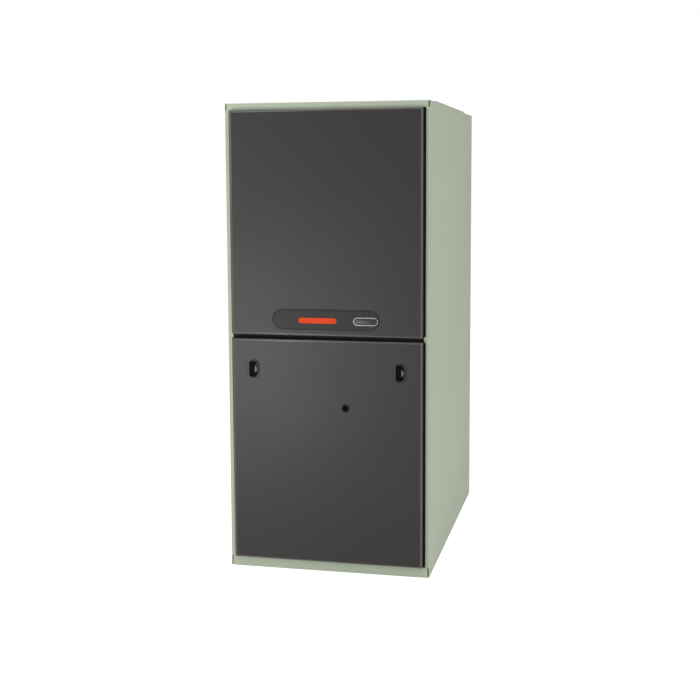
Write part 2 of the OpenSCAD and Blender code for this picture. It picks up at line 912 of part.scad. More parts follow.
module latch_bezel() {
    front = door_face_y - latch_proud;
    color(BLACK) place() translate([latch_x, 0, latch_z]) difference() {
        union() {
            along_y(front, latch_proud) rotate(90) stadium(latch_h, latch_w);
            rod_y(0, 0, door_face_y - latch_floor / 2, latch_barrel_y, latch_barrel_r);
            rod_y(0, 0, liner_y, liner_y + latch_nut_t, latch_nut_r);
        }
        along_y(front - over, latch_proud + over - latch_floor) latch_pocket();
        rod_y(0, 0, front - over, latch_barrel_y + over, latch_shaft_r + run);
    }
}

// turned a quarter to swing the pawl behind the casing's flange
module latch_knob() {
    disc_y = door_face_y - latch_floor - fit;
    grip_y = door_face_y - latch_proud;
    disc_r = latch_w / 2 - 2 * latch_rim;
    tip = pawl_len - pawl_w / 2;
    color(BLACK) place() translate([latch_x, 0, latch_z]) {
        rod_y(0, 0, disc_y - latch_disc_t, disc_y, disc_r);
        along_y(grip_y, disc_y - latch_disc_t / 2 - grip_y) intersection() {
            difference() {
                circle(disc_r);
                translate([-latch_grip_w, 0]) circle(disc_r);
            }
            square([3 * disc_r, 1.7 * disc_r], center = true);
        }
        rod_y(0, 0, disc_y - latch_disc_t / 2, pawl_y + pawl_t, latch_shaft_r);
        along_y(pawl_y, pawl_t) {
            circle(pawl_w / 2);
            translate([-pawl_w / 2, -tip]) square([pawl_w, tip]);
            translate([0, -tip]) circle(pawl_w / 2);
        }
    }
}

module latch_bezel_left() {
    mirror([1, 0, 0]) latch_bezel();
}

module latch_bezel_right() {
    latch_bezel();
}

module latch_knob_left() {
    mirror([1, 0, 0]) latch_knob();
}

module latch_knob_right() {
    latch_knob();
}

// a grommet that snaps into the door, with a rim in front and a lip behind the sheet
module sight_grommet() {
    front = door_face_y - sight_proud;
    back = door_face_y + sight_len;
    color(BLACK) place() difference() {
        union() {
            rod_y(sight_x, sight_z, front, door_face_y, sight_d / 2 + sight_rim);
            rod_y(sight_x, sight_z, front, back, sight_barrel_r);
            rod_y(sight_x, sight_z, liner_y, back, sight_d / 2 + sight_back_lip);
        }
        rod_y(sight_x, sight_z, front - over, back + over, sight_barrel_r - sight_wall);
    }
}

module sight_lens() {
    y0 = door_face_y + lens_set;
    color("lightgrey") place() rod_y(sight_x, sight_z, y0, y0 + lens_t, sight_barrel_r - sight_wall);
}

// ---- heat exchanger ----

// four straight passes joined by three return bends
module tube_solid(r, open) {
    rod_y(0, 0, panel_front_y - open, tube_far_y, r);
    rod_y(0, pass_pitch, tube_near_y, tube_far_y, r);
    rod_y(0, 2 * pass_pitch, tube_near_y, tube_far_y, r);
    rod_y(0, 3 * pass_pitch, panel_front_y - open, tube_far_y, r);
    translate([0, tube_far_y, tube_bend]) return_bend(r, 1);
    translate([0, tube_near_y, 3 * tube_bend]) return_bend(r, -1);
    translate([0, tube_far_y, 5 * tube_bend]) return_bend(r, 1);
}

// half a ring in the yz plane, bulging back when side is 1 and forward when it is -1
module return_bend(r, side) {
    rotate([0, -90, 0]) rotate([0, 0, side > 0 ? 0 : 180]) {
        rotate_extrude(angle = 180) translate([tube_bend, 0]) circle(r);
    }
}

module heat_tube(i) {
    color(ALUMINISED) place() translate([tube_xs[i], 0, burner_z]) difference() {
        tube_solid(tube_r, 0);
        tube_solid(tube_r - tube_t, over);
    }
}

// a comb that stands on the deck and carries the tubes' lowest passes near their far ends
module heat_tube_rack() {
    y0 = tube_far_y - rack_inset;
    half = 1.5 * burner_pitch + rack_over;
    color(GALVANISED) place() difference() {
        union() {
            block([-half, half], [y0, y0 + comb_t], [deck_top_z, burner_z + rack_lap]);
            block([-half, half], [y0, y0 + rack_foot], [deck_top_z, deck_top_z + comb_t]);
        }
        for (x = tube_xs) {
            rod_y(x, burner_z, y0 - over, y0 + comb_t + over, tube_r + fit);
        }
        block([-side_x, side_x], [y0 + comb_t, y0 + rack_foot + over],
              [deck_top_z - over, deck_top_z + comb_t + over]);
    }
}

module collector_box() {
    z = around(outlet_z, collector_half_h);
    half = collector_half_w;
    color(ALUMINISED) place() difference() {
        union() {
            block([-half, half], [collector_front_y, panel_front_y], z);
            block([-half - collector_lip, half + collector_lip],
                  [panel_front_y - box_t, panel_front_y],
                  around(outlet_z, collector_half_h + collector_lip));
        }
        block([-half + box_t, half - box_t], [collector_front_y + box_t, panel_front_y + over],
              around(outlet_z, collector_half_h - box_t));
        rod_y(inducer_x, outlet_z, collector_front_y - over, collector_front_y + box_t + over,
              drum_inlet_r);
    }
    color(GALVANISED) place() both_sides() for (s = [-1, 1], share = [0.35, 0.9]) {
        hex_screw(share * half, panel_front_y - box_t,
                  outlet_z + s * (collector_half_h + collector_lip / 2));
    }
}

// ---- burners and gas train ----

module burner_box() {
    z = around(burner_z, burner_box_half_h);
    half = burner_box_half_w;
    front = burner_box_front_y;
    slot_z = z[1] - burner_air_drop;
    color(ALUMINISED) place() difference() {
        union() {
            block([-half, half], [front, panel_front_y], z);
            both_sides() block([half, half + burner_box_lip],
                               [panel_front_y - box_t, panel_front_y], z);
        }
        block([-half + box_t, half - box_t], [front + box_t, panel_front_y + over],
              around(burner_z, burner_box_half_h - box_t));
        for (x = tube_xs) {
            rod_y(x, burner_z, front - over, front + box_t + over, throat_r + fit);
        }
        both_sides() rod_x(half - box_t - over, half + over, probe_y, burner_z, probe_hole_r);
        block([-1.5 * burner_pitch, 1.5 * burner_pitch], [front - over, front + box_t + over],
              [slot_z - burner_air_gap, slot_z]);
    }
    color(GALVANISED) place() both_sides() for (s = [-1, 1]) {
        hex_screw(half + burner_box_lip / 2 + 1, panel_front_y - box_t,
                  burner_z + s * burner_box_screw_z);
    }
}

// an inshot burner: bell mouth, venturi throat and slotted flame head, turned about its own axis
module burner(i) {
    wall = burner_wall;
    plate = bell_len - fit;
    head = bell_len + box_t + burner_neck;
    end = vestibule_d - burner_end_gap - bell_front_y;
    shoulder_r = throat_r + 1.5 * wall;
    slot_end = end - flame_slot_inset;
    profile = [
        [bell_r - wall, 0], [bell_r, 0], [bell_r - 1, 5], [shoulder_r, plate - 3],
        [shoulder_r, plate], [throat_r, plate], [throat_r, head - 6], [head_r, head],
        [head_r, end], [head_r - wall, end], [head_r - wall, head + 1],
        [throat_r - wall, head - 6], [throat_r - wall, plate - 6], [bell_r - wall - 1, 4]
    ];
    color(ALUMINISED) place() translate([tube_xs[i], bell_front_y, burner_z]) rotate([-90, 0, 0]) {
        difference() {
            rotate_extrude() polygon(profile);
            for (a = [0:45:135]) {
                rotate(a) block([-head_r - over, head_r + over], around(0, flame_slot_w / 2),
                                [slot_end - flame_slot_len, slot_end]);
            }
        }
    }
}

// a pipe with a cap at its right end, a tee and a riser under the valve, and two lugs
module gas_manifold() {
    x0 = valve_x;
    x1 = 1.5 * burner_pitch + manifold_over;
    fitting_r = manifold_r + fitting_wall;
    lug_y = burner_box_front_y - fit;
    valve_bottom = valve_z - valve_h / 2;
    color("#3A3A3A") place() {
        rod_x(x0, x1, manifold_y, burner_z, manifold_r);
        rod_x(x1 - fitting_len + 4, x1 + 4, manifold_y, burner_z, fitting_r);
        rod_x(x0 - manifold_r - tee_end, x0 + manifold_r + tee_arm, manifold_y, burner_z,
              fitting_r);
        translate([x0, manifold_y, burner_z]) {
            cylinder(h = valve_bottom - burner_z - fit, r = manifold_r);
            cylinder(h = manifold_r + tee_neck, r = fitting_r);
        }
        for (x = [-manifold_lug_x, manifold_lug_x]) difference() {
            block(around(x, lug_half_w), [manifold_y, lug_y], around(burner_z, lug_half_h));
            block([x - lug_half_w + lug_t, x + lug_half_w + over], [manifold_y, lug_y - lug_t],
                  around(burner_z, lug_half_h + over));
            rod_x(x - lug_half_w - over, x + lug_half_w + over, manifold_y, burner_z,
                  manifold_r - 2);
        }
    }
}

module gas_orifices() {
    hex_len = 9;
    nose_len = 3;
    body_r = 5.5;
    body_len = orifice_reach - 1;
    jet_r = 1.2;
    color(BRASS) place() for (x = tube_xs) {
        translate([x, manifold_y + manifold_r + fit, burner_z]) rotate([-90, 0, 0]) difference() {
            union() {
                cylinder(h = hex_len, r = orifice_hex_r, $fn = 6);
                cylinder(h = body_len, r = body_r);
                translate([0, 0, body_len]) cylinder(h = nose_len, r1 = body_r, r2 = nose_len);
            }
            translate([0, 0, hex_len - nose_len]) cylinder(h = body_len, r = jet_r);
        }
    }
}

// both probes pass through the burner box's ends; x is counted outwards from the wall
module probe(in_len, out_len, r, plate_t, plate_half) {
    wall = burner_box_half_w;
    rod_x(wall - in_len, wall + out_len, probe_y, burner_z, r);
    block([wall + fit, wall + plate_t], around(probe_y, plate_half[0]),
          around(burner_z, plate_half[1]));
}

module igniter() {
    wall = burner_box_half_w;
    body_r = 5;
    body_in = 30;
    element_len = 22;
    color(CERAMIC) place() {
        probe(body_in, 2, body_r, 3, [12, 8]);
        rod_x(wall + 2, wall + 24, probe_y, burner_z, body_r + 0.5);
        block([wall - body_in - element_len, wall - body_in + over], around(probe_y, 1.5),
              around(burner_z, 3));
    }
}

module flame_sensor() {
    wall = burner_box_half_w;
    body_in = 14;
    body_out = 16;
    rod_len = 36;
    color(CERAMIC) place() mirror([1, 0, 0]) {
        probe(body_in, body_out, 4.6, 2, [10, 6]);
        rod_x(wall - body_in - rod_len, wall - body_in + over, probe_y, burner_z, 1.5);
        rod_x(wall + body_out, wall + body_out + 9, probe_y, burner_z, 1.8);
    }
}

module rollout_switch() {
    can_h = 12;
    can_r = 9.5;
    ear_half = 17;
    color(DARK_PLASTIC) place() translate([rollout_x, rollout_y, rollout_z]) difference() {
        union() {
            block([-ear_half, ear_half], [-6, 6], [0, 1]);
            cylinder(h = can_h, r = can_r);
            both_sides() block([can_r - 0.5, ear_half - 2], [-3, 3], [can_h / 2, can_h / 2 + 1]);
        }
        translate([0, 0, can_h / 3]) cylinder(h = can_h, r = reset_r + run);
    }
}

module rollout_reset() {
    z = rollout_z + 4 + reset_travel + 2 * fit;
    color("#B3261E") place() translate([rollout_x, rollout_y, z]) cylinder(h = 10, r = reset_r);
}

module gas_valve() {
    x0 = valve_x - valve_w / 2;
    x1 = valve_x + valve_w / 2;
    y0 = valve_front_y;
    z0 = valve_z - valve_h / 2;
    z1 = valve_z + valve_h / 2;
    inset = valve_cover_inset;
    inlet_x = x0 - inlet_boss_len;
    color("#A9ABA8") place() difference() {
        union() {
            along_y(y0 + valve_cover_t, valve_d - valve_cover_t) {
                round_rect([x0, z0], [x1, z1], valve_corner_r);
            }
            along_y(y0, valve_cover_t + 2) {
                round_rect([x0 + inset, z0 + valve_cover_drop], [x1 - inset, z1 - inset], inset);
            }
            rod_x(inlet_x, x0 + 2, valve_mid_y, valve_z, inlet_boss_r);
            translate([valve_x, manifold_y, z0 - fit]) cylinder(h = 14, r = manifold_r + inset);
            translate([valve_x, valve_mid_y, z1 - 2]) cylinder(h = 14, r = valve_cap_r);
        }
        rod_x(inlet_x - over, inlet_x + gas_thread_len, valve_mid_y, valve_z, gas_inlet_r);
        rod_y(valve_x, knob_z, y0 - over, y0 + knob_shaft_len + 1, knob_shaft_r + run);
    }
    color(DARK_PLASTIC) place() {
        block([x1 - 26, x1 - 4], [y0 - 5, y0], [z0 + valve_cover_drop + 4, z0 + valve_cover_drop + 22]);
    }
}

// a fluted knob with a grip bar across its face
module gas_valve_knob() {
    y0 = valve_front_y;
    face = y0 - knob_len;
    color("#8E9094") place() translate([valve_x, 0, knob_z]) {
        difference() {
            rod_y(0, 0, face, y0 - fit, knob_r);
            for (a = [0:30:330]) {
                rotate([0, a, 0]) rod_y(knob_r + 1, 0, face - over, y0 - 3, knob_flute_r);
            }
        }
        block(around(0, knob_grip_w / 2), [face - 5, face + over], around(0, knob_r - 2));
        rod_y(0, 0, y0 - 3, y0 + knob_shaft_len, knob_shaft_r);
    }
}

module limit_switch() {
    z = burner_z + 1.5 * pass_pitch - 10;
    can_r = 12;
    can_len = 16;
    front = panel_front_y - can_len;
    color(DARK_PLASTIC) place() {
        block([-22, 22], [panel_front_y - 2, panel_front_y], around(z, can_r + 2));
        rod_y(0, z, front, panel_front_y - over, can_r);
        both_sides() block([4, 10], [front - 8, front + over], [z - 1, z]);
    }
}

// ---- draught inducer ----

module drum_outline(inset) {
    translate([inducer_x, outlet_z]) circle(drum_r - inset);
    translate([duct_x0 + inset, outlet_z]) {
        square([duct_w - 2 * inset, duct_top_z - outlet_z]);
    }
}

module inducer_housing() {
    duct_x = [duct_x0, duct_x0 + duct_w];
    color("#2E3033") place() difference() {
        union() {
            along_y(drum_front_y, drum_d) drum_outline(0);
            along_y(vent_y - drum_flange_t / 2, drum_flange_t) {
                translate([inducer_x, outlet_z]) circle(drum_r + drum_flange);
            }
            block([duct_x[0] - duct_foot, duct_x[1] + duct_foot],
                  [drum_front_y - duct_foot_t, drum_back_y],
                  [duct_top_z - duct_foot_t, duct_top_z]);
        }
        along_y(drum_front_y + drum_t, drum_d - 2 * drum_t) drum_outline(drum_t);
        block([duct_x[0] + drum_t, duct_x[1] - drum_t],
              [drum_front_y + drum_t, drum_back_y - drum_t], [duct_top_z - 20, duct_top_z + over]);
        rod_y(inducer_x, outlet_z, drum_back_y - drum_t - over, drum_back_y + over, drum_inlet_r);
        rod_y(inducer_x, outlet_z, drum_front_y - over, drum_front_y + drum_t + over,
              inducer_shaft_r + 3);
    }
}

module inducer_motor() {
    y0 = inducer_motor_front_y;
    y1 = inducer_motor_back_y;
    end_inset = 8;
    strap_y = y1 - 22;
    post_x = inducer_motor_r + 7;
    post_r = 4;
    color(MOTOR_ENAMEL) place() difference() {
        union() {
            rod_y(inducer_x, outlet_z, y0 + end_inset, y1 - end_inset, inducer_motor_r);
            rod_y(inducer_x, outlet_z, y0, y1, inducer_motor_r - 6);
            for (a = [30:120:270]) {
                translate([inducer_x, 0, outlet_z]) rotate([0, a, 0]) {
                    rod_y(post_x, 0, strap_y, drum_front_y, post_r);
                    block([inducer_motor_r - 4, post_x + 2], [strap_y, strap_y + 3], [-6, 6]);
                }
            }
        }
        rod_y(inducer_x, outlet_z, y0 - over, y1 + over, inducer_shaft_r + run);
    }
}

// a flat blade that leans back, between two radii round the wheel's axis
function lean_blade(r1, r2, lean, t) = [
    [r1, -t / 2], [r2 * cos(lean), r2 * sin(lean) - t / 2],
    [r2 * cos(lean), r2 * sin(lean) + t / 2], [r1, t / 2]
];

// back plate, front ring, blades between them, and the shaft through the motor
module inducer_wheel() {
    r = drum_r - 12;
    y0 = drum_front_y + drum_t + 6;
    depth = drum_d - 2 * drum_t - 14;
    plate_t = 1.5;
    hub = 18;
    color("#6E7275") place() translate([inducer_x, 0, outlet_z]) {
        rod_y(0, 0, y0, y0 + plate_t, r);
        difference() {
            rod_y(0, 0, y0 + depth - plate_t, y0 + depth, r);
            rod_y(0, 0, y0 + depth - 2 * plate_t, y0 + depth + over, drum_inlet_r);
        }
        for (i = [0:inducer_blades - 1]) {
            rotate([0, i * 360 / inducer_blades, 0]) along_y(y0 + over, depth - 2 * over) {
                polygon(lean_blade(drum_inlet_r + 2, r - 1, 25, plate_t));
            }
        }
        rod_y(0, 0, y0, y0 + hub, inducer_hub_r);
        rod_y(0, 0, inducer_motor_front_y - 14, y0 + hub, inducer_shaft_r);
    }
}

module inducer_fan() {
    y1 = inducer_motor_front_y - 2;
    vane_d = 8;
    color(BLACK) place() translate([inducer_x, 0, outlet_z]) difference() {
        union() {
            rod_y(0, 0, y1 - vane_d, y1, inducer_hub_r);
            rod_y(0, 0, y1 - 1.5, y1, inducer_fan_r);
            for (a = [0:45:315]) {
                rotate([0, a, 0]) block([inducer_hub_r - 2, inducer_fan_r],
                                        [y1 - vane_d, y1 - 1], [-0.8, 0.8]);
            }
        }
        rod_y(0, 0, y1 - vane_d - over, y1 + over, inducer_shaft_r + run / 2);
    }
}

// square foot on the inducer's outlet, round collar above it for the vent pipe
module vent_collar() {
    foot = vent_r + collar_foot;
    mouth = drum_d / 2 - drum_t;
    foot_z = collar_base_z - collar_flange_t;
    color(GALVANISED) place() translate([vent_x, vent_y, 0]) difference() {
        union() {
            translate([0, 0, foot_z]) linear_extrude(collar_flange_t) {
                round_rect([-foot, -foot], [foot, foot], 8);
            }
            translate([0, 0, collar_base_z - 1]) cylinder(h = vent_len + 1, r = vent_r);
        }
        translate([0, 0, collar_base_z]) cylinder(h = vent_len + over, r = vent_r - collar_wall);
        block([duct_x0 + drum_t - vent_x, duct_x0 + duct_w - drum_t - vent_x], [-mouth, mouth],
              [foot_z - over, collar_base_z + over]);
    }
}

// two stacked discs on a bracket from the collector box, with a hose barb in front
module pressure_switch() {
    x = inducer_x + drum_r + pressure_gap;
    z = outlet_z + pressure_rise;
    y0 = drum_front_y + pressure_set;
    disc_d = pressure_disc_d;
    color("#2B2D30") place() {
        rod_y(x, z, y0, y0 + disc_d, pressure_front_r);
        rod_y(x, z, y0 + disc_d - 2, y0 + 2 * disc_d - 2, pressure_back_r);
        block(around(x, 10), [y0 + 2 * disc_d - 4, collector_front_y - fit], around(z, 22));
        block(around(x, 7), [y0 - 8, y0 + 1], around(z, 8));
    }
}

// ---- blower ----

// the scroll grows evenly from the cut-off to the outlet, then runs straight up; t is how far
// the outline stands outside the air path
function scroll_r(turn) = scroll_r0 + (scroll_r1 - scroll_r0) * turn / scroll_turn;
function arc_angle(length, r) = length / r * 180 / PI;
function scroll_points(t) = concat(
    [for (turn = [0:scroll_step:scroll_turn])
        let (a = cutoff_angle + turn + (turn == 0 ? arc_angle(1.4 * t, scroll_r0) : 0))
        (scroll_r(turn) + t) * [cos(a), sin(a)]],
    [[scroll_r1 + t, outlet_top - fit], [cutoff_top_y - t, outlet_top - fit]]
);

module at_blower() {
    translate([0, blower_y, blower_z]) children();
}

module blower_scroll() {
    color(GALVANISED) place() at_blower() along_x(housing_w) difference() {
        polygon(scroll_points(housing_t));
        polygon(scroll_points(0));
    }
}

// side plate with a rolled inlet ring and a hanging lip along its top
module blower_side() {
    ring_r = inlet_r + inlet_lip_r;
    top = outlet_top - fit;
    color(GALVANISED) place() at_blower() {
        translate([side_x + housing_t / 2, 0, 0]) along_x(housing_t) difference() {
            polygon(scroll_points(housing_t + side_over));
            circle(inlet_r);
        }
        translate([side_x, 0, 0]) rotate([0, 90, 0]) rotate_extrude() translate([ring_r, 0]) {
            intersection() {
                difference() {
                    circle(inlet_lip_r);
                    circle(inlet_lip_r - housing_t);
                }
                translate([-inlet_lip_r, -inlet_lip_r]) square(inlet_lip_r);
            }
        }
        block([side_x, side_x + side_tab], [cutoff_top_y, scroll_r1], [top - side_tab_t, top]);
    }
}

module blower_side_left() {
    mirror([1, 0, 0]) blower_side();
}

module blower_side_right() {
    blower_side();
}

// forward-curved blade between the wheel's inner and outer radius
function blade_point(f, side) =
    let (r = wheel_r - blade_d * (1 - f) - 0.5)
    let (a = blade_lean * f * f + side * arc_angle(blade_t / 2, r))
    r * [cos(a), sin(a)];
function blade_points() = concat(
    [for (f = [0:0.25:1]) blade_point(f, 1)],
    [for (f = [1:-0.25:0]) blade_point(f, -1)]
);

module wheel_ring(x) {
    translate([x, 0, 0]) along_x(wheel_rim) difference() {
        circle(wheel_r);
        circle(wheel_r - blade_d - 1);
    }
}

module blower_wheel() {
    rim_x = (wheel_w - wheel_rim) / 2;
    color(GALVANISED) place() at_blower() difference() {
        union() {
            along_x(wheel_w - wheel_rim / 2) for (i = [0:blade_count - 1]) {
                rotate(i * 360 / blade_count) polygon(blade_points());
            }
            wheel_ring(-rim_x);
            wheel_ring(rim_x);
            along_x(disc_t) circle(wheel_r);
            rod_x(-hub_len / 2 - hub_shift, hub_len / 2 - hub_shift, 0, 0, hub_r);
        }
        rod_x(-hub_len, hub_len, 0, 0, shaft_r + run / 2);
    }
}

module blower_shaft() {
    color("silver") place() at_blower() {
        rod_x(-hub_len / 2 - 2 * hub_shift, motor_x0 + shaft_in_motor, 0, 0, shaft_r);
    }
}

module blower_motor() {
    x0 = motor_x0;
    x1 = motor_x0 + motor_len;
    vent = [motor_r - 34, motor_r - 16];
    color(MOTOR_ENAMEL) place() at_blower() difference() {
        union() {
            rod_x(x0 + 10, x1 - 10, 0, 0, motor_r);
            rod_x(x0 + 4, x1, 0, 0, motor_r - motor_end_inset);
            rod_x(x0 - 2, x0 + 5, 0, 0, motor_hub_r);
        }
        rod_x(x0 - 2 - over, x0 + shaft_in_motor + 2, 0, 0, shaft_r + run);
        for (a = [0:30:330]) {
            rotate([a, 0, 0]) block([x1 - 3, x1 + over], vent, [-3, 3]);
        }
    }
}

// belly band round the motor with three arms to the housing's right side
module blower_motor_mount() {
    arm_end = inlet_r + inlet_lip_r + 14;
    arm_x = around(mount_arm_x, mount_arm);
    color("#8D9092") place() at_blower() {
        translate([mount_arm_x + 2, 0, 0]) along_x(mount_band_w) difference() {
            circle(motor_r + mount_band_t);
            circle(motor_r);
        }
        for (a = [90:120:330]) {
            rotate([a, 0, 0]) {
                block(arm_x, [motor_r + mount_band_t / 2, arm_end], [-mount_arm, mount_arm]);
                block([side_x + housing_t, arm_x[1]], [arm_end - 12, arm_end],
                      [-2 * mount_arm, 2 * mount_arm]);
            }
        }
    }
}

// ---- filter ----

module air_filter() {
    rim = filter_rim;
    pitch = (filter_len - 2 * rim) / pleats;
    low = 2;
    high = filter_t - 5;
    media_t = 2;
    zigzag = concat(
        [for (i = [0:2 * pleats]) [rim + i * pitch / 2, i % 2 == 0 ? low : high]],
        [for (i = [2 * pleats:-1:0]) [rim + i * pitch / 2, (i % 2 == 0 ? low : high) + media_t]]
    );
    color("#D8D2C2") place() translate([0, filter_y0, filter_z0]) {
        difference() {
            block([-filter_w / 2, filter_w / 2], [0, filter_len], [0, filter_t]);
            block([-filter_w / 2 + rim, filter_w / 2 - rim], [rim, filter_len - rim],
                  [-over, filter_t + over]);
        }
        along_x(filter_w - 2 * rim + 1) polygon(zigzag);
    }
}

module filter_rack() {
    lo = filter_z0 - fit;
    hi = filter_z0 + filter_t + fit;
    x0 = filter_w / 2 + fit;
    y = [filter_y0, filter_y0 + filter_len];
    color(GALVANISED) place() both_sides() {
        block([x0, x0 + rack_t], y, [sheet_t, hi + rack_t]);
        block([x0 - rack_ledge, x0 + rack_t], y, [hi, hi + rack_t]);
        block([x0 - rack_ledge, x0 + rack_t], y, [lo - rack_t, lo]);
    }
}

// ---- electrical ----

module control_tray() {
    top = deck_z - fit;
    color(GALVANISED) place() difference() {
        union() {
            block([tray_x0, tray_x1], [tray_y, tray_y + tray_t], [tray_z0, top]);
            block([tray_x0, tray_x1], [tray_y, tray_y + tray_top_flange], [top - tray_t, top]);
            for (x = [tray_x0, tray_x1 - tray_t]) {
                block([x, x + tray_t], [tray_y, tray_y + tray_side_flange], [tray_z0, top]);
            }
        }
        for (x = [tray_x0 + tray_slot_left, tray_x1 - tray_slot_right]) {
            translate([x, 0, top - tray_slot_drop]) {
                along_y(tray_y - over, tray_t + 2 * over) stadium(22, 9);
            }
        }
    }
}

// relays along the top, capacitors at the right, connectors along the bottom, and the status
// light right behind the sight glass
module control_board() {
    x0 = board_x0;
    x1 = board_x0 + board_w;
    z0 = board_z0;
    z1 = board_z0 + board_h;
    y0 = board_y;
    relay = [22, 17, 28];
    relay_margin = 15;
    relay_pitch = (board_w - 2 * relay_margin) / 4;
    relay_top = z1 - 18;
    capacitor_r = 8;
    color("#1F6A44") place() {
        block([x0, x1], [y0, y0 + board_t], [z0, z1]);
        for (x = [x0 + standoff_inset, x1 - standoff_inset],
             z = [z0 + standoff_inset, z1 - standoff_inset]) {
            rod_y(x, z, y0 + board_t / 2, tray_y - fit, standoff_r);
        }
    }
    color(BLACK) place() {
        for (i = [0:3]) {
            x = x0 + 18 + i * relay_pitch;
            block([x, x + relay[0]], [y0 - relay[1], y0], [relay_top - relay[2], relay_top]);
        }
        for (i = [1:2]) {
            rod_y(x1 - i * 22, z0 + 58, y0 - 22, y0, capacitor_r);
        }
        block([x0 + 50, x0 + 82], [y0 - 4, y0], [z0 + 44, z0 + 60]);
    }
    color("white") place() {
        block([x0 + 14, x0 + 84], [y0 - 12, y0], [z0 + 6, z0 + 18]);
        block([x1 - 54, x1 - 12], [y0 - 10, y0], [z0 + 6, z0 + 16]);
        rod_y(sight_x, sight_z, y0 - 6, y0, 2.5);
    }
}

// a plate with two yokes and two legs of laminations round the winding
module transformer() {
    x0 = tray_x0 + 8;
    z0 = tray_z0 + 96;
    core_w = 50;
    core_h = 48;
    yoke = 14;
    leg = 12;
    core_x = [x0 + 4, x0 + 4 + core_w];
    core_y = [tray_y - 44, tray_y - 1];
    color("#4A4C50") place() {
        block([x0, x0 + core_w + 8], [tray_y - 2, tray_y], [z0 - 8, z0 + core_h + 8]);
        block(core_x, core_y, [z0, z0 + yoke]);
        block(core_x, core_y, [z0 + core_h - yoke, z0 + core_h]);
        block([core_x[0], core_x[0] + leg], core_y, [z0, z0 + core_h]);
        block([core_x[1] - leg, core_x[1]], core_y, [z0, z0 + core_h]);
    }
    color("#C7B27A") place() translate([x0 + 4 + core_w / 2, 0, z0 + core_h / 2]) {
        along_y(tray_y - 52, 46) round_rect([-13, -10], [13, 10], 3);
    }
}

module junction_box() {
    x0 = -pan_half_w;
    x1 = x0 + junction_w;
    inner = junction_half - junction_t;
    color(GALVANISED) place() difference() {
        block([x0, x1], around(junction_y, junction_half), around(junction_z, junction_half));
        block([x0 + junction_t, x1 - junction_t], around(junction_y, inner),
              around(junction_z, inner));
        rod_x(x0 - over, x0 + junction_t + over, junction_y, junction_z, knockout_r);
        translate([x0 + junction_w / 2, junction_y, junction_z - junction_half - over]) {
            cylinder(h = junction_t + 2 * over, r = 8);
        }
    }
}

module door_switch() {
    top = deck_z - fit;
    back = switch_y + switch_d;
    color(BLACK) place() difference() {
        union() {
            block(around(switch_x, switch_half_w), [switch_y, back],
                  [switch_z - switch_drop, top]);
            for (x = [switch_x - 9, switch_x + 3]) {
                block([x, x + 6], [back - over, back + 8], [switch_z - 2, switch_z - 1]);
            }
        }
        rod_y(switch_x, switch_z, switch_y - over, switch_y + switch_bore, plunger_r + run);
    }
}

module door_switch_plunger() {
    end = switch_y + switch_bore - switch_travel - 1;
    color("#D8D8D8") place() rod_y(switch_x, switch_z, door_back_y + seat_gap, end, plunger_r);
}

casing_wrapper();
top_panel();
base_pan();
blower_deck();
vestibule_panel();
casing_insulation();
upper_door();
lower_door();
upper_door_liner();
lower_door_liner();
door_gasket();
badge_plate();
badge_ring();
latch_bezel_left();
latch_bezel_right();
latch_knob_left();
latch_knob_right();
sight_grommet();
sight_lens();
heat_tube(0);  // heat_tube_1
heat_tube(1);  // heat_tube_2
heat_tube(2);  // heat_tube_3
heat_tube(3);  // heat_tube_4
heat_tube_rack();
collector_box();
burner_box();
burner(0);  // burner_1
burner(1);  // burner_2
burner(2);  // burner_3
burner(3);  // burner_4
gas_manifold();
gas_orifices();
igniter();
flame_sensor();
rollout_switch();
rollout_reset();
gas_valve();
gas_valve_knob();
limit_switch();
inducer_housing();
inducer_motor();
inducer_wheel();
inducer_fan();
vent_collar();
pressure_switch();
blower_scroll();
blower_side_left();
blower_side_right();
blower_wheel();
blower_shaft();
blower_motor();
blower_motor_mount();
control_tray();
control_board();
transformer();
junction_box();
door_switch();
door_switch_plunger();
air_filter();
filter_rack();
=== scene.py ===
"""Looks of an upflow gas furnace: finishes, badge, fasteners, wheel, filter, studio and camera.

Lengths are metres in the frame's axes: +Z is up, the doors face -Y and +X is to the right as
seen from the front. A size in millimetres is written as a number times MM.
"""

import json
import logging
import math
from collections.abc import Callable, Iterable, Mapping, Sequence
from dataclasses import dataclass, field
from enum import Enum

import bmesh
import bpy
from bmesh.types import BMesh, BMVert
from bpy.types import Material, Mesh, MeshPolygon, Node, NodeSocket, NodeTree, Object
from mathutils import Matrix, Vector

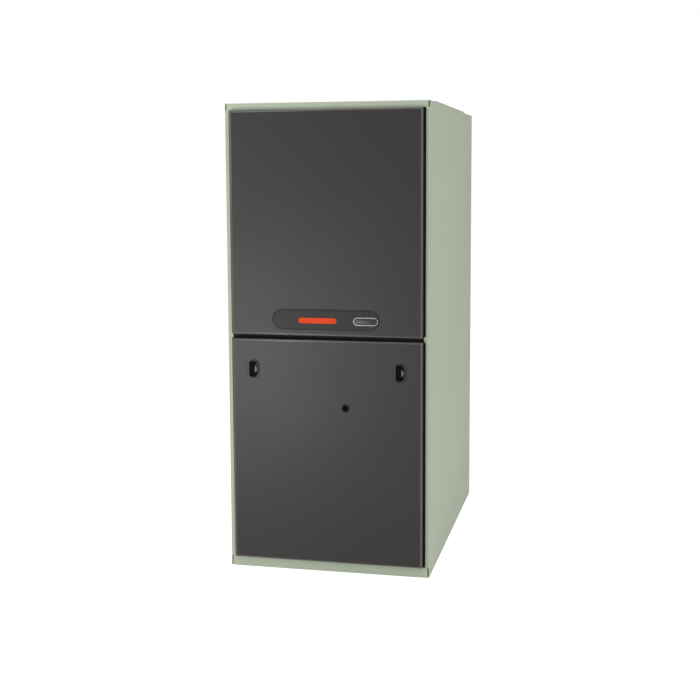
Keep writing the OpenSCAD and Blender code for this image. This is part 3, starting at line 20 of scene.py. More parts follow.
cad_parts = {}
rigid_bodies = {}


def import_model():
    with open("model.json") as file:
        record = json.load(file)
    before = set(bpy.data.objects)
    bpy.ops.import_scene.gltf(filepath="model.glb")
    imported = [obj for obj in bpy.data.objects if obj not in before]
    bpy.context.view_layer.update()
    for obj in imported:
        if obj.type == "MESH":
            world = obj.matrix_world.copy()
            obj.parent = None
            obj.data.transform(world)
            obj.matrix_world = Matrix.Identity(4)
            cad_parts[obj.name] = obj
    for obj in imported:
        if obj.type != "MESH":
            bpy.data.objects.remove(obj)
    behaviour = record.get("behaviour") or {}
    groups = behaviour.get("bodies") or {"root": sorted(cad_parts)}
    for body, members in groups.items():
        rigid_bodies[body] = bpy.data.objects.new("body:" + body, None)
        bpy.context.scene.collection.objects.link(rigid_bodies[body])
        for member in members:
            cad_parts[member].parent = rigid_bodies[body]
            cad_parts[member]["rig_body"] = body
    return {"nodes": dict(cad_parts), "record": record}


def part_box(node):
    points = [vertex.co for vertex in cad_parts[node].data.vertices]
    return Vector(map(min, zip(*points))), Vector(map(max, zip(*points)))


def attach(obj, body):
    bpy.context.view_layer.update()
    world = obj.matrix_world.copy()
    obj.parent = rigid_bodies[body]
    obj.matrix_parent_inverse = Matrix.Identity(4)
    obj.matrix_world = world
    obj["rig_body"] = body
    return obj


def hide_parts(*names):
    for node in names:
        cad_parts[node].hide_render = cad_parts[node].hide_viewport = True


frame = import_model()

MM = 0.001
WELD = 0.002 * MM
FLAT = math.radians(0.2)
CREASE = math.radians(32)
LOG = logging.getLogger("furnace")
CABINET = "cabinet"
WHITE = "#FFFFFF"
Source = Node | NodeSocket

# sockets of a Mix node in its colour mode: both colours, and the result
MIX_FIRST, MIX_SECOND, MIX_RESULT = 6, 7, 2


# ---- small helpers ----------------------------------------------------------------------------


def linear(hex_colour: str) -> tuple[float, float, float, float]:
    """Turns an sRGB colour into the linear values that the shaders take.

    Args:
        hex_colour: six hex digits after a hash.

    Returns:
        Red, green, blue and an alpha of 1.
    """
    parts = [int(hex_colour[i : i + 2], 16) / 255 for i in (1, 3, 5)]
    red, green, blue = (p / 12.92 if p <= 0.04045 else ((p + 0.055) / 1.055) ** 2.4 for p in parts)
    return red, green, blue, 1.0


def add(
    tree: NodeTree, kind: str, links: Mapping[str | int, object] | None = None, **settings: object
) -> Node:
    """Adds one node with its settings and links.

    Args:
        tree: the shader or geometry tree that gets the node.
        kind: the node's type.
        links: input name or number, to a value that it holds, an output that it is joined to, a
            node whose first output it is joined to, or a list of such nodes.
        settings: the node's own properties.

    Returns:
        The node.
    """
    made = tree.nodes.new(kind)
    for name, value in settings.items():
        setattr(made, name, value)
    for socket, value in (links or {}).items():
        for source in value if isinstance(value, list) else [value]:
            if isinstance(source, Node):
                tree.links.new(source.outputs[0], made.inputs[socket])
            elif isinstance(source, NodeSocket):
                tree.links.new(source, made.inputs[socket])
            else:
                made.inputs[socket].default_value = source
    return made


@dataclass(frozen=True)
class Span:
    """The box of a CAD node at rest."""

    lo: Vector
    hi: Vector

    @classmethod
    def of(cls, node: str) -> "Span":
        """Returns the box round the named node."""
        low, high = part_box(node)
        return cls(Vector(low), Vector(high))

    @property
    def centre(self) -> Vector:
        """Returns the middle of the box."""
        return (self.lo + self.hi) / 2

    @property
    def size(self) -> Vector:
        """Returns the box's three sides."""
        return self.hi - self.lo


def link_mesh(name: str, mesh: Mesh) -> Object:
    """Puts a mesh into the scene as an object at the origin.

    Args:
        name: the piece's name.
        mesh: its mesh, with its place in its points.

    Returns:
        The new object.
    """
    made = bpy.data.objects.new(name, mesh)
    bpy.context.scene.collection.objects.link(made)
    return made


def smooth(mesh: Mesh) -> None:
    """Shades a mesh smooth, apart from the edges that are sharper than a crease."""
    mesh.polygons.foreach_set("use_smooth", [True] * len(mesh.polygons))
    mesh.set_sharp_from_angle(angle=CREASE)
    mesh.update()


def formed(shape: BMesh, name: str) -> Object:
    """Turns a drawn form into a smooth-shaded object and frees the drawing.

    Args:
        shape: the form.
        name: the piece's name.

    Returns:
        The new object.
    """
    mesh = bpy.data.meshes.new(name)
    shape.to_mesh(mesh)
    shape.free()
    smooth(mesh)
    return link_mesh(name, mesh)


def close_rows(shape: BMesh, rows: Sequence[Sequence[BMVert]], around: bool) -> None:
    """Joins rows of equally many points, each closed on itself, by four-sided faces.

    Args:
        shape: the form that holds the points.
        rows: the rows, from the first to the last.
        around: True to join the last row to the first.
    """
    following = [*rows[1:], rows[0]] if around else rows[1:]
    for first, second in zip(rows, following):
        for i, corner in enumerate(first):
            after = (i + 1) % len(first)
            shape.faces.new((corner, first[after], second[after], second[i]))


def settled(source: Object, name: str) -> Object:
    """Bakes an object's modifiers into a plain mesh and removes the source.

    Args:
        source: the object with its modifiers.
        name: name of the new piece.

    Returns:
        A new object without modifiers.
    """
    graph = bpy.context.evaluated_depsgraph_get()
    mesh = bpy.data.meshes.new_from_object(source.evaluated_get(graph))
    source.modifiers.clear()
    bpy.data.objects.remove(source)
    mesh.name = name
    return link_mesh(name, mesh)


def keep(piece: Object, body: str, slot: str, *nodes: str, finish: Material | None = None) -> Object:
    """Makes a piece ride on its body and hides the CAD nodes that it stands for.

    Args:
        piece: the piece.
        body: the CAD body that carries it.
        slot: the record's material slot; not used.
        nodes: CAD nodes that the piece stands for.
        finish: its material, or None where it has one.

    Returns:
        The same piece.
    """
    if finish is not None:
        piece.data.materials.append(finish)
    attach(piece, body)
    if nodes:
        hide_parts(*nodes)
    LOG.info("%s rides on %s, %d faces", piece.name, body, len(piece.data.polygons))
    return piece


def repaint(piece: Object, finish: Material, chosen: Callable[[MeshPolygon], bool]) -> None:
    """Gives some of a piece's faces another finish.

    Args:
        piece: the finished piece.
        finish: the material of the chosen faces.
        chosen: tells of a face whether it gets the finish.
    """
    piece.data.materials.append(finish)
    index = len(piece.data.materials) - 1
    for face in piece.data.polygons:
        if chosen(face):
            face.material_index = index


def body_of(node: str) -> str:
    """Returns the name of the body that carries a CAD node."""
    return frame["nodes"][node]["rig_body"]


# ---- shapes -----------------------------------------------------------------------------------


def stadium(length: float, height: float, steps: int = 24) -> list[tuple[float, float]]:
    """Draws a bar with half-round ends.

    Args:
        length: the bar's longer side.
        height: the bar's shorter side, the diameter of its ends.
        steps: segments in each end.

    Returns:
        Points across and up, centred on zero, anticlockwise.
    """
    radius = height / 2
    reach = length / 2 - radius
    points = []
    for side, start in ((1, -90), (-1, 90)):
        for step in range(steps + 1):
            angle = math.radians(start + 180 * step / steps)
            points.append((side * reach + radius * math.cos(angle), radius * math.sin(angle)))
    return points


@dataclass(frozen=True)
class Layer:
    """One outline of a stacked form: a shape drawn across and up, at a depth."""

    outline: Sequence[tuple[float, float]]
    y: float

    @classmethod
    def bar(cls, size: tuple[float, float], inset: float, y: float) -> "Layer":
        """Returns the outline of a bar of a length and height, drawn in by an inset, at a depth."""
        return cls(stadium(size[0] - 2 * inset, size[1] - 2 * inset), y)


def stack(name: str, centre: Vector, layers: Sequence[Layer], ring: bool = False) -> Object:
    """Joins outlines of equal point counts into a closed skin, as a moulding is formed.

    Args:
        name: the piece's name.
        centre: place of the outlines' zero; its depth is added to each layer's.
        layers: outlines from the back of the outside to the front, and inwards from there.
        ring: True to join the last layer to the first, which leaves a hole.

    Returns:
        The new piece.
    """
    shape = bmesh.new()
    rows = [
        [shape.verts.new((centre.x + x, centre.y + layer.y, centre.z + z)) for x, z in layer.outline]
        for layer in layers
    ]
    close_rows(shape, rows, ring)
    if not ring:
        shape.faces.new(rows[0])
        shape.faces.new(rows[-1])
    bmesh.ops.remove_doubles(shape, verts=shape.verts, dist=WELD)
    bmesh.ops.recalc_face_normals(shape, faces=shape.faces)
    return formed(shape, name)


def box_piece(name: str, lo: Vector, hi: Vector, edge: float) -> Object:
    """Makes a block with softened edges.

    Args:
        name: the piece's name.
        lo: its lowest corner.
        hi: its highest corner.
        edge: radius of its edges.

    Returns:
        The new piece.
    """
    shape = bmesh.new()
    bmesh.ops.create_cube(shape, size=1)
    place = Matrix.Translation((lo + hi) / 2) @ Matrix.Diagonal((*(hi - lo), 1))
    bmesh.ops.transform(shape, matrix=place, verts=shape.verts)
    bmesh.ops.bevel(shape, geom=shape.edges[:], offset=edge, segments=3, profile=0.6, affect="EDGES")
    return formed(shape, name)


def lathe(
    name: str, centre: Vector, axis: Vector, profile: Sequence[tuple[float, float]], steps: int = 48
) -> Object:
    """Turns a profile about an axis.

    Args:
        name: the piece's name.
        centre: point on the axis from which the profile's heights are counted.
        axis: direction of the axis.
        profile: pairs of radius and height, all the way round the section.
        steps: segments round the axis.

    Returns:
        The new piece.
    """
    turn = axis.to_track_quat("Z", "Y").to_matrix()
    shape = bmesh.new()
    rows = []
    for step in range(steps):
        angle = 2 * math.pi * step / steps
        points = (Vector((r * math.cos(angle), r * math.sin(angle), h)) for r, h in profile)
        rows.append([shape.verts.new(centre + turn @ point) for point in points])
    for first, second in zip(rows, rows[1:] + rows[:1]):
        for i in range(len(profile)):
            after = (i + 1) % len(profile)
            shape.faces.new((first[i], second[i], second[after], first[after]))
    bmesh.ops.remove_doubles(shape, verts=shape.verts, dist=WELD)
    bmesh.ops.dissolve_degenerate(shape, edges=shape.edges, dist=WELD)
    bmesh.ops.recalc_face_normals(shape, faces=shape.faces)
    return formed(shape, name)


# ---- finishes ---------------------------------------------------------------------------------


def new_material(name: str) -> tuple[Material, NodeTree]:
    """Starts a node material; returns it and its tree."""
    material = bpy.data.materials.new(name)
    material.use_nodes = True
    return material, material.node_tree


@dataclass(frozen=True)
class Finish:
    """A surface: its colours, how rough it is and the pattern that its making left on it."""

    name: str
    slot: str
    colour: str
    mottle: str
    mottle_size: float
    roughness: float
    roughness_spread: float
    relief_size: float
    relief_depth: float
    metallic: float = 0.0
    coat: float = 0.0
    ior: float = 1.5
    opacity: float = 1.0

    def pattern(self, tree: NodeTree, place: NodeSocket) -> Source:
        """Returns how much of the mottle colour lies at each place, as cloudy noise."""
        clouds = {"Vector": place, "Scale": 1 / self.mottle_size, "Detail": 4.0}
        return add(tree, "ShaderNodeTexNoise", clouds)

    def relief(self, tree: NodeTree, place: NodeSocket) -> Source:
        """Returns the height of the surface's fine grain."""
        grain = {"Vector": place, "Scale": 1 / self.relief_size, "Detail": 3.0}
        return add(tree, "ShaderNodeTexNoise", grain)

    def build(self) -> Material:
        """Builds the material.

        Returns:
            A node material that reads Object coordinates.
        """
        material, tree = new_material(self.name)
        shader = tree.nodes["Principled BSDF"]
        place = add(tree, "ShaderNodeTexCoord").outputs["Object"]
        share = self.pattern(tree, place)
        colours = {"Factor": share, MIX_FIRST: linear(self.colour), MIX_SECOND: linear(self.mottle)}
        colour = add(tree, "ShaderNodeMix", colours, data_type="RGBA")
        tree.links.new(colour.outputs[MIX_RESULT], shader.inputs["Base Color"])
        smoothest = self.roughness - self.roughness_spread
        roughest = self.roughness + self.roughness_spread
        rough = add(tree, "ShaderNodeMapRange", {"Value": share, "To Min": smoothest, "To Max": roughest})
        tree.links.new(rough.outputs[0], shader.inputs["Roughness"])
        grain = {"Height": self.relief(tree, place), "Distance": self.relief_depth, "Strength": 1.0}
        tree.links.new(add(tree, "ShaderNodeBump", grain).outputs[0], shader.inputs["Normal"])
        shader.inputs["Metallic"].default_value = self.metallic
        shader.inputs["Coat Weight"].default_value = self.coat
        if not self.metallic:
            shader.inputs["IOR"].default_value = self.ior
        shader.inputs["Transmission Weight"].default_value = 1.0 - self.opacity
        return material


@dataclass(frozen=True)
class PowderCoat(Finish):
    """Baked powder paint: the skin levels into a soft orange peel."""

    def relief(self, tree: NodeTree, place: NodeSocket) -> Source:
        """Returns rounded swells with a finer ripple on them."""
        swells = {"Vector": place, "Scale": 1 / self.relief_size, "Smoothness": 1.0}
        cells = add(tree, "ShaderNodeTexVoronoi", swells, feature="SMOOTH_F1")
        ripple = add(tree, "ShaderNodeTexNoise", {"Vector": place, "Scale": 0.45 / self.relief_size})
        return add(tree, "ShaderNodeMath", {0: cells, 1: ripple}, operation="ADD")


@dataclass(frozen=True)
class Spangled(Finish):
    """Hot-dip zinc: flat crystals, each with its own grey and shine."""

    def pattern(self, tree: NodeTree, place: NodeSocket) -> Source:
        """Returns one grey for each crystal, softened by cloudy noise."""
        cells = {"Vector": place, "Scale": 1 / self.mottle_size, "Randomness": 1.0}
        crystals = add(tree, "ShaderNodeTexVoronoi", cells)
        grey = add(tree, "ShaderNodeRGBToBW", {"Color": crystals.outputs["Color"]})
        cloud = add(tree, "ShaderNodeTexNoise", {"Vector": place, "Scale": 0.2 / self.mottle_size})
        return add(tree, "ShaderNodeMath", {0: grey, 1: cloud}, operation="MULTIPLY")


class Grain(Enum):
    """Axis along which a drawn or brushed surface runs."""

    X = (1.0, 14.0, 14.0)
    Y = (14.0, 1.0, 14.0)
    Z = (14.0, 14.0, 1.0)


@dataclass(frozen=True)
class Brushed(Finish):
    """Rolled, drawn or ground metal: fine lines along one axis."""

    grain: Grain = Grain.X

    def lines(self, tree: NodeTree, place: NodeSocket, size: float) -> Source:
        """Returns noise stretched along the grain at a given size."""
        stretched = add(tree, "ShaderNodeMapping", {"Vector": place, "Scale": self.grain.value})
        return add(tree, "ShaderNodeTexNoise", {"Vector": stretched, "Scale": 0.1 / size, "Detail": 5.0})

    def pattern(self, tree: NodeTree, place: NodeSocket) -> Source:
        """Returns broad streaks along the grain."""
        return self.lines(tree, place, self.mottle_size)

    def relief(self, tree: NodeTree, place: NodeSocket) -> Source:
        """Returns fine lines along the grain."""
        return self.lines(tree, place, self.relief_size)


@dataclass(frozen=True)
class Crinkled(Finish):
    """Thin foil on a soft backing: sharp creases between slack facets."""

    def relief(self, tree: NodeTree, place: NodeSocket) -> Source:
        """Returns facets that meet in creases, bent by coarse noise."""
        drift = add(tree, "ShaderNodeTexNoise", {"Vector": place, "Scale": 0.5 / self.relief_size})
        bend = {0: drift.outputs["Color"], 1: (self.relief_size,) * 3, 2: place}
        bent = add(tree, "ShaderNodeVectorMath", bend, operation="MULTIPLY_ADD")
        facets = {"Vector": bent, "Scale": 1 / self.relief_size}
        return add(tree, "ShaderNodeTexVoronoi", facets, feature="DISTANCE_TO_EDGE")


@dataclass(frozen=True)
class Layered(Finish):
    """Stacked sheets seen on edge, as in a transformer's core."""

    def pattern(self, tree: NodeTree, place: NodeSocket) -> Source:
        """Returns bands across the stack."""
        bands = {"Vector": place, "Scale": 0.16 / self.relief_size, "Distortion": 0.6}
        return add(tree, "ShaderNodeTexWave", bands, bands_direction="Z").outputs["Fac"]

    def relief(self, tree: NodeTree, place: NodeSocket) -> Source:
        """Returns the same bands as ridges."""
        return self.pattern(tree, place)


@dataclass(frozen=True)
class Clear(Finish):
    """Clear glass or plastic that light passes through."""

    def build(self) -> Material:
        """Builds the material with a faint tint and no grain."""
        material, tree = new_material(self.name)
        shader = tree.nodes["Principled BSDF"]
        place = add(tree, "ShaderNodeTexCoord").outputs["Object"]
        smudge = add(tree, "ShaderNodeTexNoise", {"Vector": place, "Scale": 1 / self.mottle_size})
        spread = {"Value": smudge, "To Min": self.roughness, "To Max": self.roughness + self.roughness_spread}
        rough = add(tree, "ShaderNodeMapRange", spread)
        tree.links.new(rough.outputs[0], shader.inputs["Roughness"])
        shader.inputs["Base Color"].default_value = linear(self.colour)
        shader.inputs["Transmission Weight"].default_value = 1.0 - self.opacity
        shader.inputs["IOR"].default_value = self.ior
        return material


# Grain that is finer than the render can hold is drawn a few times coarser than the real one,
# so that it still breaks up the shine.
FINISHES: tuple[Finish, ...] = (
    # satin powder coat over galvanised sheet: even colour, broad soft shine
    PowderCoat(
        "sage_powder_coated_steel", "casing_paint", "#A2AB97", "#9CA692", 180 * MM,
        0.55, 0.03, 3.5 * MM, 0.02 * MM, ior=1.36,
    ),
    # fine-texture charcoal powder coat: dark, with a wide dull highlight; its pits trap a part of
    # the shine, so that it mirrors less than a smooth coat
    PowderCoat(
        "charcoal_textured_powder_coat", "door_paint", "#2D2B2A", "#2A2827", 150 * MM,
        0.4, 0.02, 2.2 * MM, 0.04 * MM, ior=1.26,
    ),
    # hot-dip galvanised sheet: grey crystals of about 9 mm
    Spangled(
        "galvanised_sheet_spangled", "galvanised", "#9EA3A5", "#C3C8CA", 9 * MM,
        0.42, 0.1, 1.5 * MM, 0.01 * MM, metallic=1.0,
    ),
    # aluminised steel: dull silver with faint rolling lines
    Brushed(
        "aluminised_steel_rolled", "aluminised", "#8F9394", "#A9ADAE", 6 * MM,
        0.45, 0.08, 1.2 * MM, 0.02 * MM, metallic=1.0, grain=Grain.Y,
    ),
    # foil glued on glass wool: bright, slack and creased
    Crinkled(
        "foil_faced_glass_wool", "insulation", "#C6C9CA", "#AEB2B4", 40 * MM,
        0.33, 0.08, 26 * MM, 0.9 * MM, metallic=0.9,
    ),
    # closed cell foam: black, matt and open-grained
    Finish(
        "closed_cell_foam", "foam_gasket", "#1B1B1B", "#101010", 6 * MM,
        0.9, 0.05, 1.5 * MM, 0.3 * MM,
    ),
    # moulded ABS with a matt lacquer: dark, a little bluer than the door
    Finish(
        "lacquered_abs_badge", "badge_plastic", "#222223", "#1F1F20", 60 * MM,
        0.46, 0.03, 2 * MM, 0.004 * MM, ior=1.24,
    ),
    # satin vacuum-metallised plastic: grey, with a soft sheen
    Brushed(
        "metallised_plastic_trim", "badge_trim", "#676769", "#545456", 8 * MM,
        0.26, 0.04, 0.8 * MM, 0.003 * MM, metallic=1.0, grain=Grain.X,
    ),
    # moulded nylon 6: black, spark-eroded mould texture that dulls it; its near-black, darker than the
    # nylon's own, is partly painted shade of the latches' recessed pockets
    Finish(
        "moulded_nylon_black_and_painted_shade", "latch_plastic", "#050505", "#080808", 5 * MM,
        0.6, 0.05, 0.9 * MM, 0.02 * MM, ior=1.1,
    ),
    # EPDM rubber: black and matt
    Finish(
        "epdm_rubber", "grommet_rubber", "#0A0A0A", "#0E0E0E", 4 * MM,
        0.6, 0.06, 1 * MM, 0.03 * MM, ior=1.15,
    ),
    # borosilicate sight glass, clear in itself: its dark tint is painted shade of the dark cabinet behind it,
    # so that little shows behind it but a light
    Clear(
        "borosilicate_glass_painted_shade_tint", "sight_glass", "#0C0E0F", "#0C0E0F", 4 * MM,
        0.08, 0.05, 1 * MM, 0.0, ior=1.1, opacity=0.0,
    ),
    # black iron pipe: mill scale under lacquer
    Finish(
        "black_iron_pipe", "gas_pipe", "#2B2B2C", "#3A3836", 14 * MM,
        0.5, 0.1, 1.6 * MM, 0.06 * MM,
    ),
    # machined free-cutting brass: turned lines
    Brushed(
        "turned_brass", "brass", "#B8964E", "#A4813C", 2 * MM,
        0.28, 0.07, 0.6 * MM, 0.01 * MM, metallic=1.0, grain=Grain.X,
    ),
    # glazed steatite: off-white, glassy
    Finish(
        "glazed_steatite", "ceramic", "#DDD7C8", "#D3CBB9", 5 * MM,
        0.22, 0.05, 2 * MM, 0.02 * MM, coat=0.4,
    ),
    # die-cast aluminium, shot blasted: mid grey, even sparkle
    Finish(
        "shot_blasted_die_cast_aluminium", "valve_casting", "#858785", "#919391", 3 * MM,
        0.52, 0.06, 0.9 * MM, 0.06 * MM, metallic=1.0,
    ),
    # moulded glass-filled nylon: grey, slightly flowing
    Finish(
        "glass_filled_nylon_grey", "knob_plastic", "#83868A", "#8E9195", 10 * MM,
        0.45, 0.05, 1 * MM, 0.03 * MM,
    ),
    # phenolic switch body: dark and dull
    Finish(
        "moulded_phenolic", "switch_plastic", "#23262A", "#2B2F33", 6 * MM,
        0.4, 0.05, 0.9 * MM, 0.02 * MM,
    ),
    # moulded acetal: red, waxy
    Finish(
        "acetal_red", "reset_red", "#B4241C", "#A81E17", 4 * MM,
        0.3, 0.04, 0.8 * MM, 0.01 * MM,
    ),
    # black e-coated pressed steel: thin, even paint
    PowderCoat(
        "electrocoated_pressed_steel", "inducer_shell", "#2C2F32", "#33363A", 40 * MM,
        0.4, 0.05, 2.5 * MM, 0.03 * MM,
    ),
    # enamelled motor shell: dark, semi-gloss
    PowderCoat(
        "motor_enamel", "motor_paint", "#373B3F", "#3F4347", 50 * MM,
        0.35, 0.05, 2.2 * MM, 0.03 * MM,
    ),
    # galvanised strip for wheels: bright rolled lines round the blades
    Brushed(
        "galvanised_strip", "rotor_steel", "#A4A9AB", "#BDC2C4", 5 * MM,
        0.38, 0.08, 1 * MM, 0.015 * MM, metallic=1.0, grain=Grain.X,
    ),
    # ground shaft steel: fine turned shine
    Brushed(
        "ground_shaft_steel", "shaft_steel", "#BFC0C2", "#AFB0B3", 2 * MM,
        0.24, 0.05, 0.7 * MM, 0.006 * MM, metallic=1.0, grain=Grain.Y,
    ),
    # polypropylene fan: black, satin
    Finish(
        "polypropylene_black", "fan_plastic", "#171717", "#202020", 8 * MM,
        0.45, 0.05, 1 * MM, 0.02 * MM,
    ),
    # solder mask on glass-epoxy: green, glossy, woven underneath
    Finish(
        "solder_mask_on_glass_epoxy", "circuit_board", "#1C6B43", "#165C39", 3 * MM,
        0.28, 0.05, 1 * MM, 0.02 * MM, coat=0.3,
    ),
    # varnished steel laminations: banded dark edge
    Layered(
        "varnished_laminations", "transformer_steel", "#484B50", "#5C5F64", 3 * MM,
        0.45, 0.06, 1.2 * MM, 0.15 * MM, metallic=0.4,
    ),
    # bonded polyester fibre: cream, fuzzy
    Finish(
        "bonded_fibre_media", "filter_media", "#DCD6C6", "#C9C1AD", 4 * MM,
        0.95, 0.03, 1.4 * MM, 0.5 * MM,
    ),
    # moulded acetal: white, waxy
    Finish(
        "acetal_white", "plunger_plastic", "#D9D9D6", "#CFCFCB", 4 * MM,
        0.35, 0.04, 0.9 * MM, 0.01 * MM,
    ),
)

# finishes of pieces that only this script makes; each takes the nearest slot of the record
EXTRA_FINISHES: dict[str, Finish] = {
    # orange ABS insert with a lacquered face
    "insert": Finish(
        "lacquered_abs_orange", "badge_plastic", "#CC3F16", "#C43A13", 20 * MM,
        0.5, 0.03, 2 * MM, 0.004 * MM, ior=1.2,
    ),
    # smoked acrylic behind the bright ring
    "smoked": Finish(
        "smoked_acrylic", "badge_plastic", "#2A2A2B", "#262627", 20 * MM,
        0.35, 0.03, 2 * MM, 0.002 * MM, ior=1.3,
    ),
    # grip of a latch, in a grey lighter than the knob's black nylon: a painted highlight on the knob's lit
    # side
    "grip": Finish(
        "moulded_nylon_painted_highlight", "latch_plastic", "#4E4E4F", "#424243", 3 * MM,
        0.45, 0.05, 0.9 * MM, 0.02 * MM, ior=1.35,
    ),
    # surround of a latch's pocket, moulded in the doors' charcoal; the pocket inside stays near black, as
    # painted shade of the recess
    "surround": Finish(
        "moulded_nylon_charcoal", "latch_plastic", "#2D2B2A", "#292726", 5 * MM,
        0.45, 0.04, 0.9 * MM, 0.02 * MM, ior=1.26,
    ),
    # the doors' coat on their rolled edges, painted lighter and made to shine more than on their faces: a
    # painted highlight, so that each edge shows as a pale line
    "bend": PowderCoat(
        "charcoal_powder_coat_painted_edge_highlight", "door_paint", "#403E3D", "#3A3837", 150 * MM,
        0.3, 0.03, 2.2 * MM, 0.015 * MM, ior=1.5,
    ),
    # zinc-plated screw heads: bluish, bright
    "screw": Finish(
        "zinc_plated_steel", "galvanised", "#B1B7BB", "#9AA0A5", 3 * MM,
        0.3, 0.06, 0.8 * MM, 0.01 * MM, metallic=1.0,
    ),
    # kraft tape over enamelled copper wire
    "winding": Finish(
        "kraft_tape_winding", "transformer_steel", "#B08D52", "#9E7B43", 3 * MM,
        0.6, 0.05, 1.2 * MM, 0.1 * MM,
    ),
    # aluminium can of an electrolytic capacitor in its dark sleeve
    "sleeve": Finish(
        "shrink_sleeve_dark", "switch_plastic", "#20242C", "#272C35", 5 * MM,
        0.25, 0.04, 1 * MM, 0.005 * MM, coat=0.2,
    ),
    # bleached card frame of the filter
    "card": Finish(
        "beverage_board_card", "filter_media", "#E6E2D8", "#D8D3C6", 12 * MM,
        0.8, 0.05, 1.2 * MM, 0.06 * MM,
    ),
}


class Palette:
    """The built materials, found by the record's slot or by an extra finish's name."""

    def __init__(self) -> None:
        """Builds every finish once."""
        self.by_slot = {finish.slot: finish.build() for finish in FINISHES}
        self.extra = {name: finish.build() for name, finish in EXTRA_FINISHES.items()}
        self.slot_of = {row["node"]: row["material_slot"] for row in frame["record"]["subparts"]}

    def for_node(self, node: str) -> Material:
        """Returns the material of a CAD node's slot."""
        return self.by_slot[self.slot_of[node]]

    def dress(self, node: str) -> None:
        """Gives a CAD node its finish in place."""
        materials = frame["nodes"][node].data.materials
        materials.clear()
        materials.append(self.for_node(node))

    def skin(self, node: str, edge: float = 0.0, twin: str | None = None) -> Object:
        """Makes a welded, smooth-shaded copy of a CAD node, in its own finish, that stands for it.

        Args:
            node: the CAD node.
            edge: radius of its softened edges, or 0 for edges as they are.
            twin: a node of the same size whose shape is set in this one's place, or None.

        Returns:
            The finished piece.
        """
        shape = bmesh.new()
        shape.from_mesh(frame["nodes"][twin or node].data)
        if twin:
            bmesh.ops.translate(shape, vec=Span.of(node).lo - Span.of(twin).lo, verts=shape.verts)
        bmesh.ops.remove_doubles(shape, verts=shape.verts, dist=WELD)
        bmesh.ops.dissolve_degenerate(shape, edges=shape.edges, dist=WELD)
        bmesh.ops.dissolve_limit(shape, angle_limit=FLAT, verts=shape.verts, edges=shape.edges)
        source = formed(shape, node + "_skin")
        if edge:
            bevel = source.modifiers.new("Edges", "BEVEL")
            bevel.width = edge
            bevel.segments = 2
            bevel.limit_method = "ANGLE"
            bevel.angle_limit = CREASE
            bevel.harden_normals = True
        source.modifiers.new("Normals", "WEIGHTED_NORMAL").keep_sharp = True
        copy = settled(source, node + "_skin")
        copy.data.materials.clear()
        return self.stand_in(copy, node)

    def stand_in(self, piece: Object, node: str) -> Object:
        """Dresses a piece as the CAD node that it stands for and lets it ride on the same body."""
        return keep(piece, body_of(node), self.slot_of[node], node, finish=self.for_node(node))

    def skins(self, edges: Mapping[str, float]) -> None:
        """Makes a smooth copy of each node, its edges softened by the radius beside its name."""
        for node, edge in edges.items():
            self.skin(node, edge)


# ---- geometry nodes ---------------------------------------------------------------------------

Outputs = Mapping[str, NodeSocket]
SOCKETS = {float: "NodeSocketFloat", int: "NodeSocketInt", tuple: "NodeSocketVector"}


def new_tree(name: str, inputs: Mapping[str, object]) -> tuple[NodeTree, Outputs]:
    """Starts a geometry tree with named inputs and one more, Finish, for its material.

    Args:
        name: the tree's name.
        inputs: input name, to its default, which also tells the kind of socket.

    Returns:
        The tree and its inputs, by name.
    """
    tree = bpy.data.node_groups.new(name, "GeometryNodeTree")
    tree.interface.new_socket("Geometry", in_out="INPUT", socket_type="NodeSocketGeometry")
    for label, default in inputs.items():
        socket = tree.interface.new_socket(label, in_out="INPUT", socket_type=SOCKETS[type(default)])
        socket.default_value = default
    tree.interface.new_socket("Finish", in_out="INPUT", socket_type="NodeSocketMaterial")
    tree.interface.new_socket("Geometry", in_out="OUTPUT", socket_type="NodeSocketGeometry")
    return tree, add(tree, "NodeGroupInput").outputs


def close_tree(tree: NodeTree, given: Outputs, part: Node, turn: Node | None = None) -> NodeTree:
    """Sets a part on each point, and ends the tree in Realize Instances and Set Material.

    Args:
        tree: the tree.
        given: its inputs, of which Geometry holds the points and Finish the material.
        part: what is set on each point.
        turn: how each copy is turned, or None to leave it as it is.

    Returns:
        The tree.
    """
    spots = {"Points": given["Geometry"], "Instance": part}
    if turn is not None:
        spots["Rotation"] = turn
    placed = add(tree, "GeometryNodeInstanceOnPoints", spots)
    real = add(tree, "GeometryNodeRealizeInstances", {"Geometry": placed})
    painted = add(tree, "GeometryNodeSetMaterial", {"Geometry": real, "Material": given["Finish"]})
    add(tree, "NodeGroupOutput", {"Geometry": painted})
    return tree


def grow(name: str, source: Object, tree: NodeTree, values: Mapping[str, object]) -> Object:
    """Runs a geometry tree on an object and keeps the result as a plain mesh.

    Args:
        name: the new piece's name.
        source: the object that the tree starts from, which is removed.
        tree: the tree.
        values: input name to value.

    Returns:
        The new piece.
    """
    modifier = source.modifiers.new("Grow", "NODES")
    modifier.node_group = tree
    for item in tree.interface.items_tree:
        if item.in_out == "INPUT" and item.name in values:
            modifier[item.identifier] = values[item.name]
    made = settled(source, name)
    smooth(made.data)
    return made


